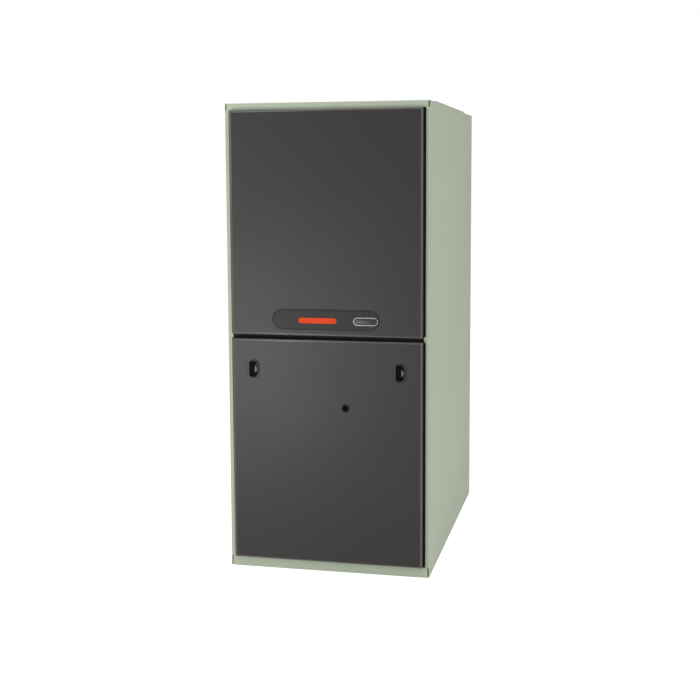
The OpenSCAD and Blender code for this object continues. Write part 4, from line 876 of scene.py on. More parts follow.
def screw_tree() -> NodeTree:
    """Builds the tree that sets a hexagon washer-head screw on each point.

    Returns:
        The tree; the points carry the direction of each head in the attribute facing.
    """
    tree, value = new_tree(
        "hex_washer_screws",
        {
            "Across Flats": 7 * MM,
            "Head Height": 3.6 * MM,
            "Washer Radius": 5.4 * MM,
            "Washer Height": 0.9 * MM,
            "Seed": 11,
        },
    )
    corner = add(tree, "ShaderNodeMath", {0: value["Across Flats"], 1: math.sqrt(3)}, operation="DIVIDE")
    chamfer = add(tree, "ShaderNodeMath", {0: corner, 1: 0.84}, operation="MULTIPLY")
    shank = add(tree, "ShaderNodeMath", {0: value["Head Height"], 1: 0.8}, operation="MULTIPLY")
    crown = add(tree, "ShaderNodeMath", {0: value["Head Height"], 1: 0.2}, operation="MULTIPLY")
    rim = add(tree, "ShaderNodeMath", {0: value["Washer Radius"], 1: 0.93}, operation="MULTIPLY")
    body, top, washer = (
        add(
            tree,
            "GeometryNodeMeshCone",
            {"Vertices": sides, "Radius Top": upper, "Radius Bottom": lower, "Depth": depth},
        )
        for sides, upper, lower, depth in (
            (6, corner, corner, shank),
            (6, chamfer, corner, crown),
            (24, rim, value["Washer Radius"], value["Washer Height"]),
        )
    )
    raised = add(tree, "ShaderNodeCombineXYZ", {"Z": shank})
    top_up = add(tree, "GeometryNodeTransform", {"Geometry": top, "Translation": raised})
    head = add(tree, "GeometryNodeJoinGeometry", {"Geometry": [body, top_up, washer]})
    facing = add(tree, "GeometryNodeInputNamedAttribute", {"Name": "facing"}, data_type="FLOAT_VECTOR")
    aligned = add(tree, "FunctionNodeAlignRotationToVector", {"Vector": facing}, axis="Z")
    sixth = {"Max": (0.0, 0.0, math.pi / 3), "Seed": value["Seed"]}
    spin = add(tree, "FunctionNodeRandomValue", sixth, data_type="FLOAT_VECTOR")
    spin_turn = add(tree, "FunctionNodeEulerToRotation", {"Euler": spin})
    turns = {"Rotation": aligned, "Rotate By": spin_turn}
    turned = add(tree, "FunctionNodeRotateRotation", turns, rotation_space="LOCAL")
    return close_tree(tree, value, head, turned)


def wheel_tree() -> NodeTree:
    """Builds the tree of a squirrel-cage wheel: curved blades between two rims on a centre disc.

    Returns:
        The tree; it starts from a single point at the wheel's centre, with its axis along X.
    """
    tree, value = new_tree(
        "squirrel_cage_wheel",
        {
            "Blade Count": 42,
            "Radius": 127 * MM,
            "Blade Depth": 20 * MM,
            "Width": 200 * MM,
            "Blade Thickness": 0.8 * MM,
            "Rim Height": 5 * MM,
            "Lean": math.radians(16),
            "Hub Radius": 16 * MM,
            "Hub Length": 46 * MM,
        },
    )
    radius, depth, lean = value["Radius"], value["Blade Depth"], value["Lean"]
    inner = add(tree, "ShaderNodeMath", {0: radius, 1: depth}, operation="SUBTRACT")
    belly = add(tree, "ShaderNodeMath", {0: depth, 1: 0.42}, operation="MULTIPLY")
    middle = add(tree, "ShaderNodeMath", {0: radius, 1: belly}, operation="SUBTRACT")
    outer = add(tree, "ShaderNodeMath", {0: radius, 1: 0.8 * MM}, operation="SUBTRACT")
    cosine = add(tree, "ShaderNodeMath", {0: lean}, operation="COSINE")
    sine = add(tree, "ShaderNodeMath", {0: lean}, operation="SINE")
    across = add(tree, "ShaderNodeMath", {0: outer, 1: cosine}, operation="MULTIPLY")
    along = add(tree, "ShaderNodeMath", {0: outer, 1: sine}, operation="MULTIPLY")
    start = add(tree, "ShaderNodeCombineXYZ", {"X": inner})
    bend = add(tree, "ShaderNodeCombineXYZ", {"X": middle})
    tip = add(tree, "ShaderNodeCombineXYZ", {"X": across, "Y": along})
    curve = {"Resolution": 7, "Start": start, "Middle": bend, "End": tip}
    path = add(tree, "GeometryNodeCurveQuadraticBezier", curve)
    sheet = {"Width": value["Blade Thickness"], "Height": value["Width"]}
    section = add(tree, "GeometryNodeCurvePrimitiveQuadrilateral", sheet)
    swept = {"Curve": path, "Profile Curve": section, "Fill Caps": True}
    blade = add(tree, "GeometryNodeCurveToMesh", swept)
    spots = add(tree, "GeometryNodePoints", {"Count": value["Blade Count"]})
    index = add(tree, "GeometryNodeInputIndex")
    share = add(tree, "ShaderNodeMath", {0: index, 1: 2 * math.pi}, operation="MULTIPLY")
    angle = add(tree, "ShaderNodeMath", {0: share, 1: value["Blade Count"]}, operation="DIVIDE")
    around = add(tree, "ShaderNodeCombineXYZ", {"Z": angle})
    turn = add(tree, "FunctionNodeEulerToRotation", {"Euler": around})
    ring = {"Points": spots, "Instance": blade, "Rotation": turn}
    parts = [add(tree, "GeometryNodeInstanceOnPoints", ring)]
    half_depth = add(tree, "ShaderNodeMath", {0: depth, 1: 2.0}, operation="DIVIDE")
    rim_radius = add(tree, "ShaderNodeMath", {0: radius, 1: half_depth}, operation="SUBTRACT")
    rim_depth = add(tree, "ShaderNodeMath", {0: depth, 1: 1 * MM}, operation="ADD")
    rim_path = add(tree, "GeometryNodeCurvePrimitiveCircle", {"Resolution": 128, "Radius": rim_radius})
    strip = {"Width": rim_depth, "Height": value["Rim Height"]}
    rim_section = add(tree, "GeometryNodeCurvePrimitiveQuadrilateral", strip)
    rim = add(tree, "GeometryNodeCurveToMesh", {"Curve": rim_path, "Profile Curve": rim_section})
    half_width = add(tree, "ShaderNodeMath", {0: value["Width"], 1: 2.0}, operation="DIVIDE")
    upper = add(tree, "ShaderNodeMath", {0: half_width, 1: 2 * MM}, operation="SUBTRACT")
    lower = add(tree, "ShaderNodeMath", {0: upper, 1: -1.0}, operation="MULTIPLY")
    for height in (upper, lower):
        shift = add(tree, "ShaderNodeCombineXYZ", {"Z": height})
        parts.append(add(tree, "GeometryNodeTransform", {"Geometry": rim, "Translation": shift}))
    disc_radius = add(tree, "ShaderNodeMath", {0: radius, 1: 1 * MM}, operation="SUBTRACT")
    disc = {"Vertices": 128, "Radius": disc_radius, "Depth": 2 * MM}
    parts.append(add(tree, "GeometryNodeMeshCylinder", disc))
    boss = {"Vertices": 48, "Radius": value["Hub Radius"], "Depth": value["Hub Length"]}
    hub = add(tree, "GeometryNodeMeshCylinder", boss)
    parts.append(add(tree, "GeometryNodeTransform", {"Geometry": hub, "Translation": (0, 0, -6 * MM)}))
    upright = add(tree, "GeometryNodeJoinGeometry", {"Geometry": parts})
    quarter = (0, math.pi / 2, 0)
    lying = add(tree, "GeometryNodeTransform", {"Geometry": upright, "Rotation": quarter})
    return close_tree(tree, value, lying)


def pleat_tree() -> NodeTree:
    """Builds the tree of a pleated sheet: a zigzag from front to back, as wide as the filter.

    Returns:
        The tree; it starts from a single point at the front, in the middle of the pleats' height.
    """
    tree, value = new_tree(
        "filter_pleats",
        {
            "Pleats": 24,
            "Length": 480 * MM,
            "Width": 366 * MM,
            "Height": 13 * MM,
            "Thickness": 1.4 * MM,
        },
    )
    twice = add(tree, "ShaderNodeMath", {0: value["Pleats"], 1: 2.0}, operation="MULTIPLY")
    count = add(tree, "ShaderNodeMath", {0: twice, 1: 1.0}, operation="ADD")
    end = add(tree, "ShaderNodeCombineXYZ", {"Y": value["Length"]})
    line = add(tree, "GeometryNodeCurvePrimitiveLine", {"End": end})
    points = add(tree, "GeometryNodeResampleCurve", {"Curve": line, "Count": count}, mode="COUNT")
    index = add(tree, "GeometryNodeInputIndex")
    parity = add(tree, "ShaderNodeMath", {0: index, 1: 2.0}, operation="MODULO")
    level = add(tree, "ShaderNodeMath", {0: parity, 1: 0.5}, operation="SUBTRACT")
    rise = add(tree, "ShaderNodeMath", {0: level, 1: value["Height"]}, operation="MULTIPLY")
    lift = add(tree, "ShaderNodeCombineXYZ", {"Z": rise})
    zigzag = add(tree, "GeometryNodeSetPosition", {"Geometry": points, "Offset": lift})
    sheet = {"Width": value["Width"], "Height": value["Thickness"]}
    section = add(tree, "GeometryNodeCurvePrimitiveQuadrilateral", sheet)
    upright = add(tree, "GeometryNodeSetCurveNormal", {"Curve": zigzag}, mode="Z_UP")
    swept = {"Curve": upright, "Profile Curve": section, "Fill Caps": True}
    return close_tree(tree, value, add(tree, "GeometryNodeCurveToMesh", swept))


def tab_tree() -> NodeTree:
    """Builds the tree that sets a flat tab terminal on each point.

    Returns:
        The tree; the tabs keep the direction of its Size.
    """
    tree, value = new_tree("tab_terminals", {"Size": (0.8 * MM, 8 * MM, 6.35 * MM)})
    return close_tree(tree, value, add(tree, "GeometryNodeMeshCube", {"Size": value["Size"]}))


def points_object(name: str, places: Iterable[Vector], facing: Vector | None = None) -> Object:
    """Makes an object of loose points for a geometry tree to start from.

    Args:
        name: the object's name.
        places: where the points are.
        facing: direction stored on every point, if the tree reads it.

    Returns:
        The new object.
    """
    mesh = bpy.data.meshes.new(name)
    mesh.from_pydata([tuple(place) for place in places], [], [])
    if facing is not None:
        attribute = mesh.attributes.new("facing", "FLOAT_VECTOR", "POINT")
        attribute.data.foreach_set("vector", list(facing) * len(mesh.vertices))
    return link_mesh(name, mesh)


def spaced(first: float, last: float, count: int) -> list[float]:
    """Returns evenly spaced values from first to last."""
    return [first + (last - first) * i / (count - 1) for i in range(count)]


@dataclass
class Fasteners:
    """Sets rows of screws with one shared tree; their heads are shares of the size across flats."""

    palette: Palette
    tree: NodeTree = field(default_factory=screw_tree)
    head_height: float = 0.5
    washer_radius: float = 0.77
    washer_height: float = 0.13

    def set(
        self, name: str, body: str, places: Iterable[Vector], facing: Vector, across_flats: float = 7 * MM
    ) -> Object:
        """Puts a screw on each place.

        Args:
            name: the group's name.
            body: the body that carries the screws.
            places: points on the surface under the heads.
            facing: direction of the heads.
            across_flats: size of the hexagon.

        Returns:
            One piece with all the heads.
        """
        values = {
            "Across Flats": across_flats,
            "Head Height": across_flats * self.head_height,
            "Washer Radius": across_flats * self.washer_radius,
            "Washer Height": across_flats * self.washer_height,
            "Finish": self.palette.extra["screw"],
        }
        made = grow(name, points_object(name + "_points", places, facing), self.tree, values)
        return keep(made, body, "galvanised")


# ---- sub-assemblies ---------------------------------------------------------------------------


@dataclass
class Casing:
    """The painted cabinet and the sheet steel inside it.

    Each row of screws lies at a named distance from the edge of the sheet that it holds.
    """

    palette: Palette
    fasteners: Fasteners
    screws_across: int = 4
    screws_deep: int = 4
    screws_up: int = 3
    screw_inset: float = 24 * MM
    base_rise: float = 10 * MM
    deck_drop: float = 19 * MM
    top_drop: float = 8 * MM
    left_drop: float = 20 * MM
    left_inset: float = 60 * MM
    wall_inset: float = 8 * MM
    top_inset: float = 10 * MM
    top_front: float = 70 * MM
    top_back: float = 40 * MM
    top_flats: float = 6 * MM
    painted: tuple[str, ...] = ("casing_wrapper", "top_panel", "base_pan", "blower_deck")
    plain: tuple[str, ...] = ("vestibule_panel", "door_gasket")

    def build(self) -> None:
        """Dresses the sheets and sets the screws that hold them."""
        for node in self.painted + self.plain:
            self.palette.dress(node)
        self.palette.skin("casing_insulation")
        self.back_screws()
        self.left_screws()
        self.top_screws()

    def back_screws(self) -> None:
        """Screws that hold the top, the deck and the base through the casing's back."""
        shell = Span.of("casing_wrapper")
        deck = Span.of("blower_deck")
        rows = (shell.lo.z + self.base_rise, deck.hi.z - self.deck_drop, shell.hi.z - self.top_drop)
        across = spaced(shell.lo.x + self.screw_inset, shell.hi.x - self.screw_inset, self.screws_across)
        places = [Vector((x, shell.hi.y, z)) for z in rows for x in across]
        self.fasteners.set("casing_back_screws", CABINET, places, Vector((0, 1, 0)))

    def left_screws(self) -> None:
        """Screws that hold the deck and the burner compartment's wall through the left side."""
        shell = Span.of("casing_wrapper")
        deck = Span.of("blower_deck")
        wall = Span.of("vestibule_panel")
        depths = spaced(shell.lo.y + self.left_inset, shell.hi.y - self.left_inset, self.screws_deep)
        places = [Vector((shell.lo.x, y, deck.hi.z - self.left_drop)) for y in depths]
        heights = spaced(deck.hi.z + self.left_inset, shell.hi.z - self.left_inset, self.screws_up)
        places += [Vector((shell.lo.x, wall.hi.y - self.wall_inset, z)) for z in heights]
        self.fasteners.set("casing_left_screws", CABINET, places, Vector((-1, 0, 0)))

    def top_screws(self) -> None:
        """Screws along the top's side edges, where its lips meet the walls."""
        top = Span.of("top_panel")
        shell = Span.of("casing_wrapper")
        depths = spaced(shell.lo.y + self.top_front, top.hi.y - self.top_back, self.screws_deep)
        x = shell.hi.x - self.top_inset
        places = [Vector((side * x, y, shell.hi.z)) for side in (-1, 1) for y in depths]
        self.fasteners.set("top_panel_screws", CABINET, places, Vector((0, 0, 1)), self.top_flats)


@dataclass
class Doors:
    """Both doors with their insulation, badge, latches and sight glass."""

    palette: Palette
    highlight_edge_front: float = -0.97
    highlight_edge_side: float = -0.1
    rim: float = 2.2 * MM
    recess: float = 0.7 * MM
    insert_length: float = 84 * MM
    insert_height: float = 12 * MM
    insert_rise: float = 0.5 * MM
    insert_x: float = -17 * MM
    grip_radius: float = 9.2 * MM
    grip_width: float = 5.2 * MM
    grip_reach: float = math.radians(58)
    grip_depth: float = 2 * MM
    grip_soft: float = 0.3 * MM
    grip_steps: int = 12
    bezel_rim: float = 0.6 * MM
    strip_half: float = 1.6 * MM
    strip_inset: float = 3 * MM
    strip_setback: float = 0.4 * MM
    plate_soft: float = 0.6 * MM
    pane_rise: float = 0.4 * MM
    ring_wall: float = 2.5 * MM
    ring_soft: float = 0.4 * MM

    def build(self) -> None:
        """Builds the badge and dresses everything else on the doors."""
        for node in ("upper_door", "lower_door"):
            # the rolled edges get a lighter, glossier coat: a painted highlight
            repaint(self.palette.skin(node), self.palette.extra["bend"], self.on_painted_highlight_edge)
            self.palette.skin(node + "_liner", 1.5 * MM)
        for side in ("left", "right"):
            self.latch(side)
        self.sight_glass()
        self.badge()
        self.seam_shade_strip()

    def on_painted_highlight_edge(self, face: MeshPolygon) -> bool:
        """Tells whether a face is on a door's rolled edge, between its front and its side; these faces get
        the painted highlight.
        """
        return self.highlight_edge_front < face.normal.y < self.highlight_edge_side

    def latch(self, side: str) -> None:
        """Dresses one latch; both are the same moulding, so both pockets face the same way.

        Args:
            side: left or right.
        """
        bezel = self.palette.skin(f"latch_bezel_{side}", 0.5 * MM, "latch_bezel_right")
        centre = Span.of(f"latch_bezel_{side}").centre
        front = Span.of(f"latch_bezel_{side}").lo.y

        def outside(face: MeshPolygon) -> bool:
            """Tells whether a face is on the bezel's rim or its outer wall."""
            outward = Vector((face.center.x - centre.x, 0, face.center.z - centre.z))
            return face.center.y < front + self.bezel_rim or face.normal.dot(outward) > 0

        # the rim and outer wall take the charcoal, and the pocket stays near black: painted shade of the
        # recess
        repaint(bezel, self.palette.extra["surround"], outside)
        self.palette.skin(f"latch_knob_{side}", 0.4 * MM, "latch_knob_right")
        self.grip(side)

    def grip(self, side: str) -> None:
        """Builds the crescent that fingers turn a latch by, over the knob's own rib, in a grey finish that is
        a painted highlight.

        Args:
            side: left or right.
        """
        knob = f"latch_knob_{side}"
        place = Span.of(f"latch_bezel_{side}").centre
        front = Span.of(knob).lo.y
        outside = self.grip_radius
        inside = outside * math.sin(self.grip_reach)
        outline = []
        for i in range(self.grip_steps + 1):
            angle = self.grip_reach * (2 * i / self.grip_steps - 1)
            outline.append((outside * math.cos(angle), outside * math.sin(angle)))
        tip_x = outside * math.cos(self.grip_reach)
        for i in range(1, self.grip_steps):
            up = inside * (1 - 2 * i / self.grip_steps)
            bulge = (outside - self.grip_width - tip_x) * (1 - (up / inside) ** 2)
            outline.append((tip_x + bulge, up))
        layers = [
            Layer(outline, front + self.grip_depth),
            Layer(outline, front),
            Layer([(x * 0.97, z * 0.97) for x, z in outline], front - self.grip_soft),
        ]
        piece = stack(f"latch_grip_{side}", Vector((place.x, 0, place.z)), layers)
        # its grey is a painted highlight on the knob's lit side
        keep(piece, body_of(knob), "latch_plastic", finish=self.palette.extra["grip"])

    def seam_shade_strip(self) -> None:
        """Lays a black foam strip in the seam between the doors' gaskets; it darkens the seam as painted
        shade of the gap between the doors.
        """
        foam = Span.of("door_gasket")
        upper = Span.of("upper_door")
        lower = Span.of("lower_door")
        seam = (upper.lo.z + lower.hi.z) / 2
        # a black strip that darkens the seam: painted shade
        piece = box_piece(
            "seam_painted_shade_strip",
            Vector((lower.lo.x + self.strip_inset, foam.lo.y + self.strip_setback, seam - self.strip_half)),
            Vector((lower.hi.x - self.strip_inset, foam.hi.y, seam + self.strip_half)),
            0.3 * MM,
        )
        keep(piece, CABINET, "foam_gasket", finish=self.palette.by_slot["foam_gasket"])

    def badge(self) -> None:
        """Builds the badge: a rimmed plate, a bright ring round a smoked window, an insert."""
        plate = Span.of("badge_plate")
        ring = Span.of("badge_ring")
        outside = (plate.size.x, plate.size.z)
        back = plate.hi.y - plate.centre.y
        front = plate.lo.y - plate.centre.y
        soft = self.plate_soft
        field_y = front + self.recess
        sections = (
            (0, back), (0, front + soft), (soft * 0.3, front + soft * 0.3), (soft, front),
            (self.rim, front), (self.rim + 0.5 * self.recess, front + 0.25 * self.recess),
            (self.rim + 1.2 * self.recess, field_y), (self.rim + 1.6 * self.recess, field_y),
        )
        layers = [Layer.bar(outside, inset, y) for inset, y in sections]
        moulding = stack("badge_plate_moulding", plate.centre, layers)
        self.palette.stand_in(moulding, "badge_plate")

        bar = self.pad((self.insert_length, self.insert_height), field_y, self.insert_rise)
        insert = stack("badge_insert", Vector((self.insert_x, plate.centre.y, ring.centre.z)), bar)
        keep(insert, body_of("badge_plate"), "badge_plastic", finish=self.palette.extra["insert"])

        wall = self.ring_wall
        soft = self.ring_soft
        top = ring.lo.y - plate.centre.y
        sections = (
            (0.0, field_y), (0.0, top + soft), (soft, top),
            (wall - soft, top), (wall, top + soft), (wall, field_y),
        )
        outside = (ring.size.x, ring.size.z)
        layers = [Layer.bar(outside, inset, y) for inset, y in sections]
        centre = Vector((ring.centre.x, plate.centre.y, ring.centre.z))
        trim = stack("badge_ring_trim", centre, layers, ring=True)
        self.palette.stand_in(trim, "badge_ring")

        pane = self.pad((outside[0] - 2 * wall, outside[1] - 2 * wall), field_y, self.pane_rise)
        window = stack("badge_window", centre, pane)
        keep(window, body_of("badge_ring"), "badge_plastic", finish=self.palette.extra["smoked"])

    @staticmethod
    def pad(size: tuple[float, float], back: float, rise: float) -> list[Layer]:
        """Draws a low pad with a softened front edge.

        Args:
            size: its length and height.
            back: depth of the surface that it lies on.
            rise: how far it stands out of that surface.

        Returns:
            Its layers from the back to the front.
        """
        soft = rise * 0.6
        edge = back - rise + soft
        sections = ((0.0, back), (0.0, edge), (soft * 0.3, back - rise + soft * 0.3), (soft, back - rise))
        return [Layer.bar(size, inset, y) for inset, y in sections]

    def sight_glass(self) -> None:
        """Builds the rubber grommet with its rolled lip, and dresses the glass."""
        grommet = Span.of("sight_grommet")
        lens = Span.of("sight_lens")
        radius = grommet.size.x / 2
        hole = lens.size.x / 2
        depth = grommet.size.y
        lip = 1.0 * MM
        bulge = 0.35 * MM
        profile = [
            (hole, 0.0),
            (hole, depth - 0.5 * lip),
            (hole + 0.3 * lip, depth - 0.15 * lip),
            (hole + lip, depth),
            (radius - lip, depth),
            (radius - 0.3 * lip, depth - 0.3 * lip),
            (radius, depth - lip),
            (radius - bulge, depth - lip),
            (radius - 2 * lip, depth - lip - bulge),
            (radius - 2 * lip, 0.0),
        ]
        back = Vector((grommet.centre.x, grommet.hi.y, grommet.centre.z))
        piece = lathe("sight_grommet_moulding", back, Vector((0, -1, 0)), profile)
        self.palette.stand_in(piece, "sight_grommet")
        # the glass's dark tint is painted shade of the cabinet behind it
        self.palette.skin("sight_lens")


@dataclass
class HeatExchanger:
    """The tubes, their rack, the flue collector box and the limit switch."""

    palette: Palette

    def build(self) -> None:
        """Smooths the bent tubes and softens the pressed box."""
        tubes = {f"heat_tube_{i}": 0.0 for i in range(1, 5)}
        self.palette.skins(
            {**tubes, "heat_tube_rack": 0.0, "collector_box": 0.4 * MM, "limit_switch": 0.5 * MM}
        )


@dataclass
class GasTrain:
    """Burners, manifold, orifices, igniter, flame sensor, rollout switch and gas valve."""

    palette: Palette
    fasteners: Fasteners
    cover_reach: float = 25 * MM
    cover_rows: tuple[float, float] = (-38 * MM, 24 * MM)
    cover_setback: float = 7 * MM
    cover_flats: float = 5 * MM

    def build(self) -> None:
        """Dresses the gas train and sets the valve's cover screws."""
        burners = {f"burner_{i}": 0.0 for i in range(1, 5)}
        self.palette.skins(
            {
                **burners,
                "burner_box": 0.4 * MM,
                "gas_manifold": 0.6 * MM,
                "gas_orifices": 0.3 * MM,
                "igniter": 0.4 * MM,
                "flame_sensor": 0.3 * MM,
                "rollout_switch": 0.4 * MM,
                "rollout_reset": 0.5 * MM,
                "gas_valve": 1.2 * MM,
                "gas_valve_knob": 0.5 * MM,
            }
        )
        self.valve_screws()

    def valve_screws(self) -> None:
        """Screws at the four corners of the valve's cover."""
        valve = Span.of("gas_valve")
        knob = Span.of("gas_valve_knob")
        y = knob.hi.y - self.cover_setback
        places = [
            Vector((knob.centre.x + side * self.cover_reach, y, knob.centre.z + up))
            for side in (-1, 1)
            for up in self.cover_rows
            if valve.lo.z < knob.centre.z + up < valve.hi.z
        ]
        self.fasteners.set("gas_valve_screws", CABINET, places, Vector((0, -1, 0)), self.cover_flats)


@dataclass
class Inducer:
    """The draught inducer with its motor, wheel and fan, the vent collar and pressure switch."""

    palette: Palette
    fasteners: Fasteners
    screws: int = 8
    flange: float = 75 * MM
    flange_setback: float = 2 * MM
    first_screw: float = -160
    screw_sweep: float = 180
    flange_flats: float = 5 * MM

    def build(self) -> None:
        """Dresses the inducer and sets the screws round its drum's flange."""
        self.palette.skins(
            {
                "inducer_housing": 0.8 * MM,
                "inducer_motor": 0.8 * MM,
                "inducer_wheel": 0.0,
                "inducer_fan": 0.3 * MM,
                "vent_collar": 0.4 * MM,
                "pressure_switch": 0.8 * MM,
            }
        )
        self.flange_screws()

    def flange_screws(self) -> None:
        """Screws round the flange that joins the drum's halves, clear of the outlet duct."""
        drum = Span.of("inducer_housing")
        wheel = Span.of("inducer_wheel")
        front = (drum.lo.y + drum.hi.y) / 2 - self.flange_setback
        places = []
        for i in range(self.screws):
            angle = math.radians(self.first_screw + self.screw_sweep * i / (self.screws - 1))
            place = Vector((math.cos(angle), 0, math.sin(angle))) * self.flange
            places.append(Vector((wheel.centre.x, front, wheel.centre.z)) + place)
        towards = Vector((0, -1, 0))
        self.fasteners.set("inducer_flange_screws", CABINET, places, towards, self.flange_flats)


@dataclass
class Blower:
    """The blower's scroll, sides, wheel, shaft and motor."""

    palette: Palette
    blades: int = 42
    blade_depth: float = 20 * MM

    def build(self) -> None:
        """Builds the wheel and dresses the housing and motor."""
        self.palette.skins(
            {
                "blower_scroll": 0.0,
                "blower_side_left": 0.0,
                "blower_side_right": 0.0,
                "blower_shaft": 0.0,
                "blower_motor": 1.2 * MM,
                "blower_motor_mount": 0.4 * MM,
            }
        )
        self.wheel()

    def wheel(self) -> None:
        """Grows the wheel's blades, rims and disc round its axis."""
        wheel = Span.of("blower_wheel")
        shaft = Span.of("blower_shaft")
        centre = Vector((wheel.centre.x, shaft.centre.y, shaft.centre.z))
        values = {
            "Blade Count": self.blades,
            "Radius": wheel.size.z / 2,
            "Blade Depth": self.blade_depth,
            "Width": wheel.size.x,
            "Finish": self.palette.by_slot["rotor_steel"],
        }
        source = points_object("blower_wheel_centre", [centre])
        made = grow("blower_wheel_cage", source, wheel_tree(), values)
        keep(made, body_of("blower_wheel"), "rotor_steel", "blower_wheel")


@dataclass
class Controls:
    """The control tray with its board and transformer, the junction box and the door switch."""

    palette: Palette
    can_height: float = 22 * MM
    can_right: float = 53 * MM
    can_zone: tuple[float, float] = (49 * MM, 67 * MM)
    plug_top: float = 20 * MM
    lamp_reach: float = 3 * MM
    winding_proud: float = 8 * MM
    winding_slack: float = 0.5 * MM
    surface_slack: float = 0.1 * MM
    top_slack: float = 0.05 * MM
    tabs: int = 9
    tab_size: tuple[float, float, float] = (0.8 * MM, 8 * MM, 6.35 * MM)
    tab_inset: float = 16 * MM
    tab_rise: float = 31 * MM

    def build(self) -> None:
        """Dresses the tray, the board and the switches."""
        self.palette.skin("control_tray", 0.3 * MM)
        self.board()
        self.board_tabs()
        self.transformer()
        boxes = ("junction_box", "door_switch", "door_switch_plunger")
        self.palette.skins({node: 0.5 * MM for node in boxes})

    def board(self) -> None:
        """Dresses the board, and each kind of component on it in its own finish."""
        piece = self.palette.skin("control_board", 0.3 * MM)
        box = Span.of("control_board")
        sight = Span.of("sight_lens").centre
        surface = box.lo.y + self.can_height

        def stands(face: MeshPolygon) -> bool:
            """Tells whether a face belongs to a component."""
            return face.center.y < surface - self.surface_slack

        def on_can(face: MeshPolygon) -> bool:
            """Tells whether a face belongs to a capacitor."""
            up = face.center.z - box.lo.z
            inside = self.can_zone[0] < up < self.can_zone[1]
            return stands(face) and inside and face.center.x > box.hi.x - self.can_right

        def can_top(face: MeshPolygon) -> bool:
            """Tells whether a face is the bare end of a capacitor."""
            return face.center.y < box.lo.y + self.top_slack

        def on_plug(face: MeshPolygon) -> bool:
            """Tells whether a face belongs to one of the plugs at the bottom edge."""
            return stands(face) and face.center.z < box.lo.z + self.plug_top

        def on_lamp(face: MeshPolygon) -> bool:
            """Tells whether a face belongs to the status light behind the sight glass."""
            away = Vector((face.center.x - sight.x, face.center.z - sight.z))
            return stands(face) and away.length < self.lamp_reach

        repaint(piece, self.palette.by_slot["switch_plastic"], stands)
        repaint(piece, self.palette.by_slot["reset_red"], on_lamp)
        repaint(piece, self.palette.extra["sleeve"], on_can)
        repaint(piece, self.palette.by_slot["valve_casting"], can_top)
        repaint(piece, self.palette.by_slot["plunger_plastic"], on_plug)

    def board_tabs(self) -> None:
        """Grows the row of tab terminals that the leads push on to."""
        box = Span.of("control_board")
        y = box.lo.y + self.can_height - self.tab_size[1] / 2
        across = spaced(box.lo.x + self.tab_inset, box.hi.x - self.tab_inset, self.tabs)
        places = [Vector((x, y, box.lo.z + self.tab_rise)) for x in across]
        values = {"Size": self.tab_size, "Finish": self.palette.by_slot["brass"]}
        source = points_object("board_tab_points", places)
        made = grow("board_tab_terminals", source, tab_tree(), values)
        keep(made, body_of("control_board"), "brass")

    def transformer(self) -> None:
        """Dresses the transformer's core, and the taped winding that stands out of it."""
        piece = self.palette.skin("transformer", 0.4 * MM)
        front = Span.of("transformer").lo.y + self.winding_proud

        def on_winding(face: MeshPolygon) -> bool:
            """Tells whether a face lies in front of the core."""
            return face.center.y < front - self.winding_slack

        repaint(piece, self.palette.extra["winding"], on_winding)


@dataclass
class FilterBay:
    """The pleated filter in its card frame, and the rack that holds it."""

    palette: Palette
    rim: float = 14 * MM
    pleats: int = 24
    clearance: float = 2 * MM
    overlap: float = 1 * MM
    fold_room: float = 2 * MM
    card_edge: float = 0.8 * MM

    def build(self) -> None:
        """Builds the filter and dresses the rack."""
        self.palette.dress("filter_rack")
        self.media()
        self.card()

    def media(self) -> None:
        """Grows the pleated media inside the card frame."""
        box = Span.of("air_filter")
        start = Vector((box.centre.x, box.lo.y + self.rim, box.centre.z))
        values = {
            "Pleats": self.pleats,
            "Length": box.size.y - 2 * self.rim,
            "Width": box.size.x - 2 * self.rim + self.overlap,
            "Height": box.size.z - 2 * self.clearance - self.fold_room,
            "Finish": self.palette.by_slot["filter_media"],
        }
        made = grow("filter_media_pleats", points_object("filter_start", [start]), pleat_tree(), values)
        keep(made, body_of("air_filter"), "filter_media", "air_filter")

    def card(self) -> None:
        """Folds the card frame round the media's four edges."""
        box = Span.of("air_filter")
        centre = box.centre
        half = box.size / 2
        shape = bmesh.new()
        rows = [
            [
                shape.verts.new((centre.x + a * (half.x - inset), centre.y + b * (half.y - inset), z))
                for a, b in ((-1, -1), (1, -1), (1, 1), (-1, 1))
            ]
            for inset, z in (
                (0.0, centre.z - half.z), (0.0, centre.z + half.z),
                (self.rim, centre.z + half.z), (self.rim, centre.z - half.z),
            )
        ]
        close_rows(shape, rows, True)
        bmesh.ops.recalc_face_normals(shape, faces=shape.faces)
        bmesh.ops.bevel(
            shape, geom=shape.edges[:], offset=self.card_edge, segments=2, profile=0.6, affect="EDGES"
        )
        piece = formed(shape, "filter_card_frame")
        keep(piece, body_of("air_filter"), "filter_media", finish=self.palette.extra["card"])


# ---- studio -----------------------------------------------------------------------------------


@dataclass(frozen=True)
class Lamp:
    """One soft box: where it hangs, what it points at, its size and its power in watts."""

    name: str
    place: tuple[float, float, float]
    target: tuple[float, float, float]
    width: float
    height: float
    power: float

    def hang(self) -> None:
        """Adds the lamp to the scene."""
        light = bpy.data.lights.new(self.name, "AREA")
        light.shape = "RECTANGLE"
        light.size = self.width
        light.size_y = self.height
        light.energy = self.power
        made = bpy.data.objects.new(self.name, light)
        direction = Vector(self.target) - Vector(self.place)
        turn = direction.to_track_quat("-Z", "Y").to_matrix().to_4x4()
        made.matrix_world = Matrix.Translation(self.place) @ turn
        made.visible_camera = False
        bpy.context.scene.collection.objects.link(made)


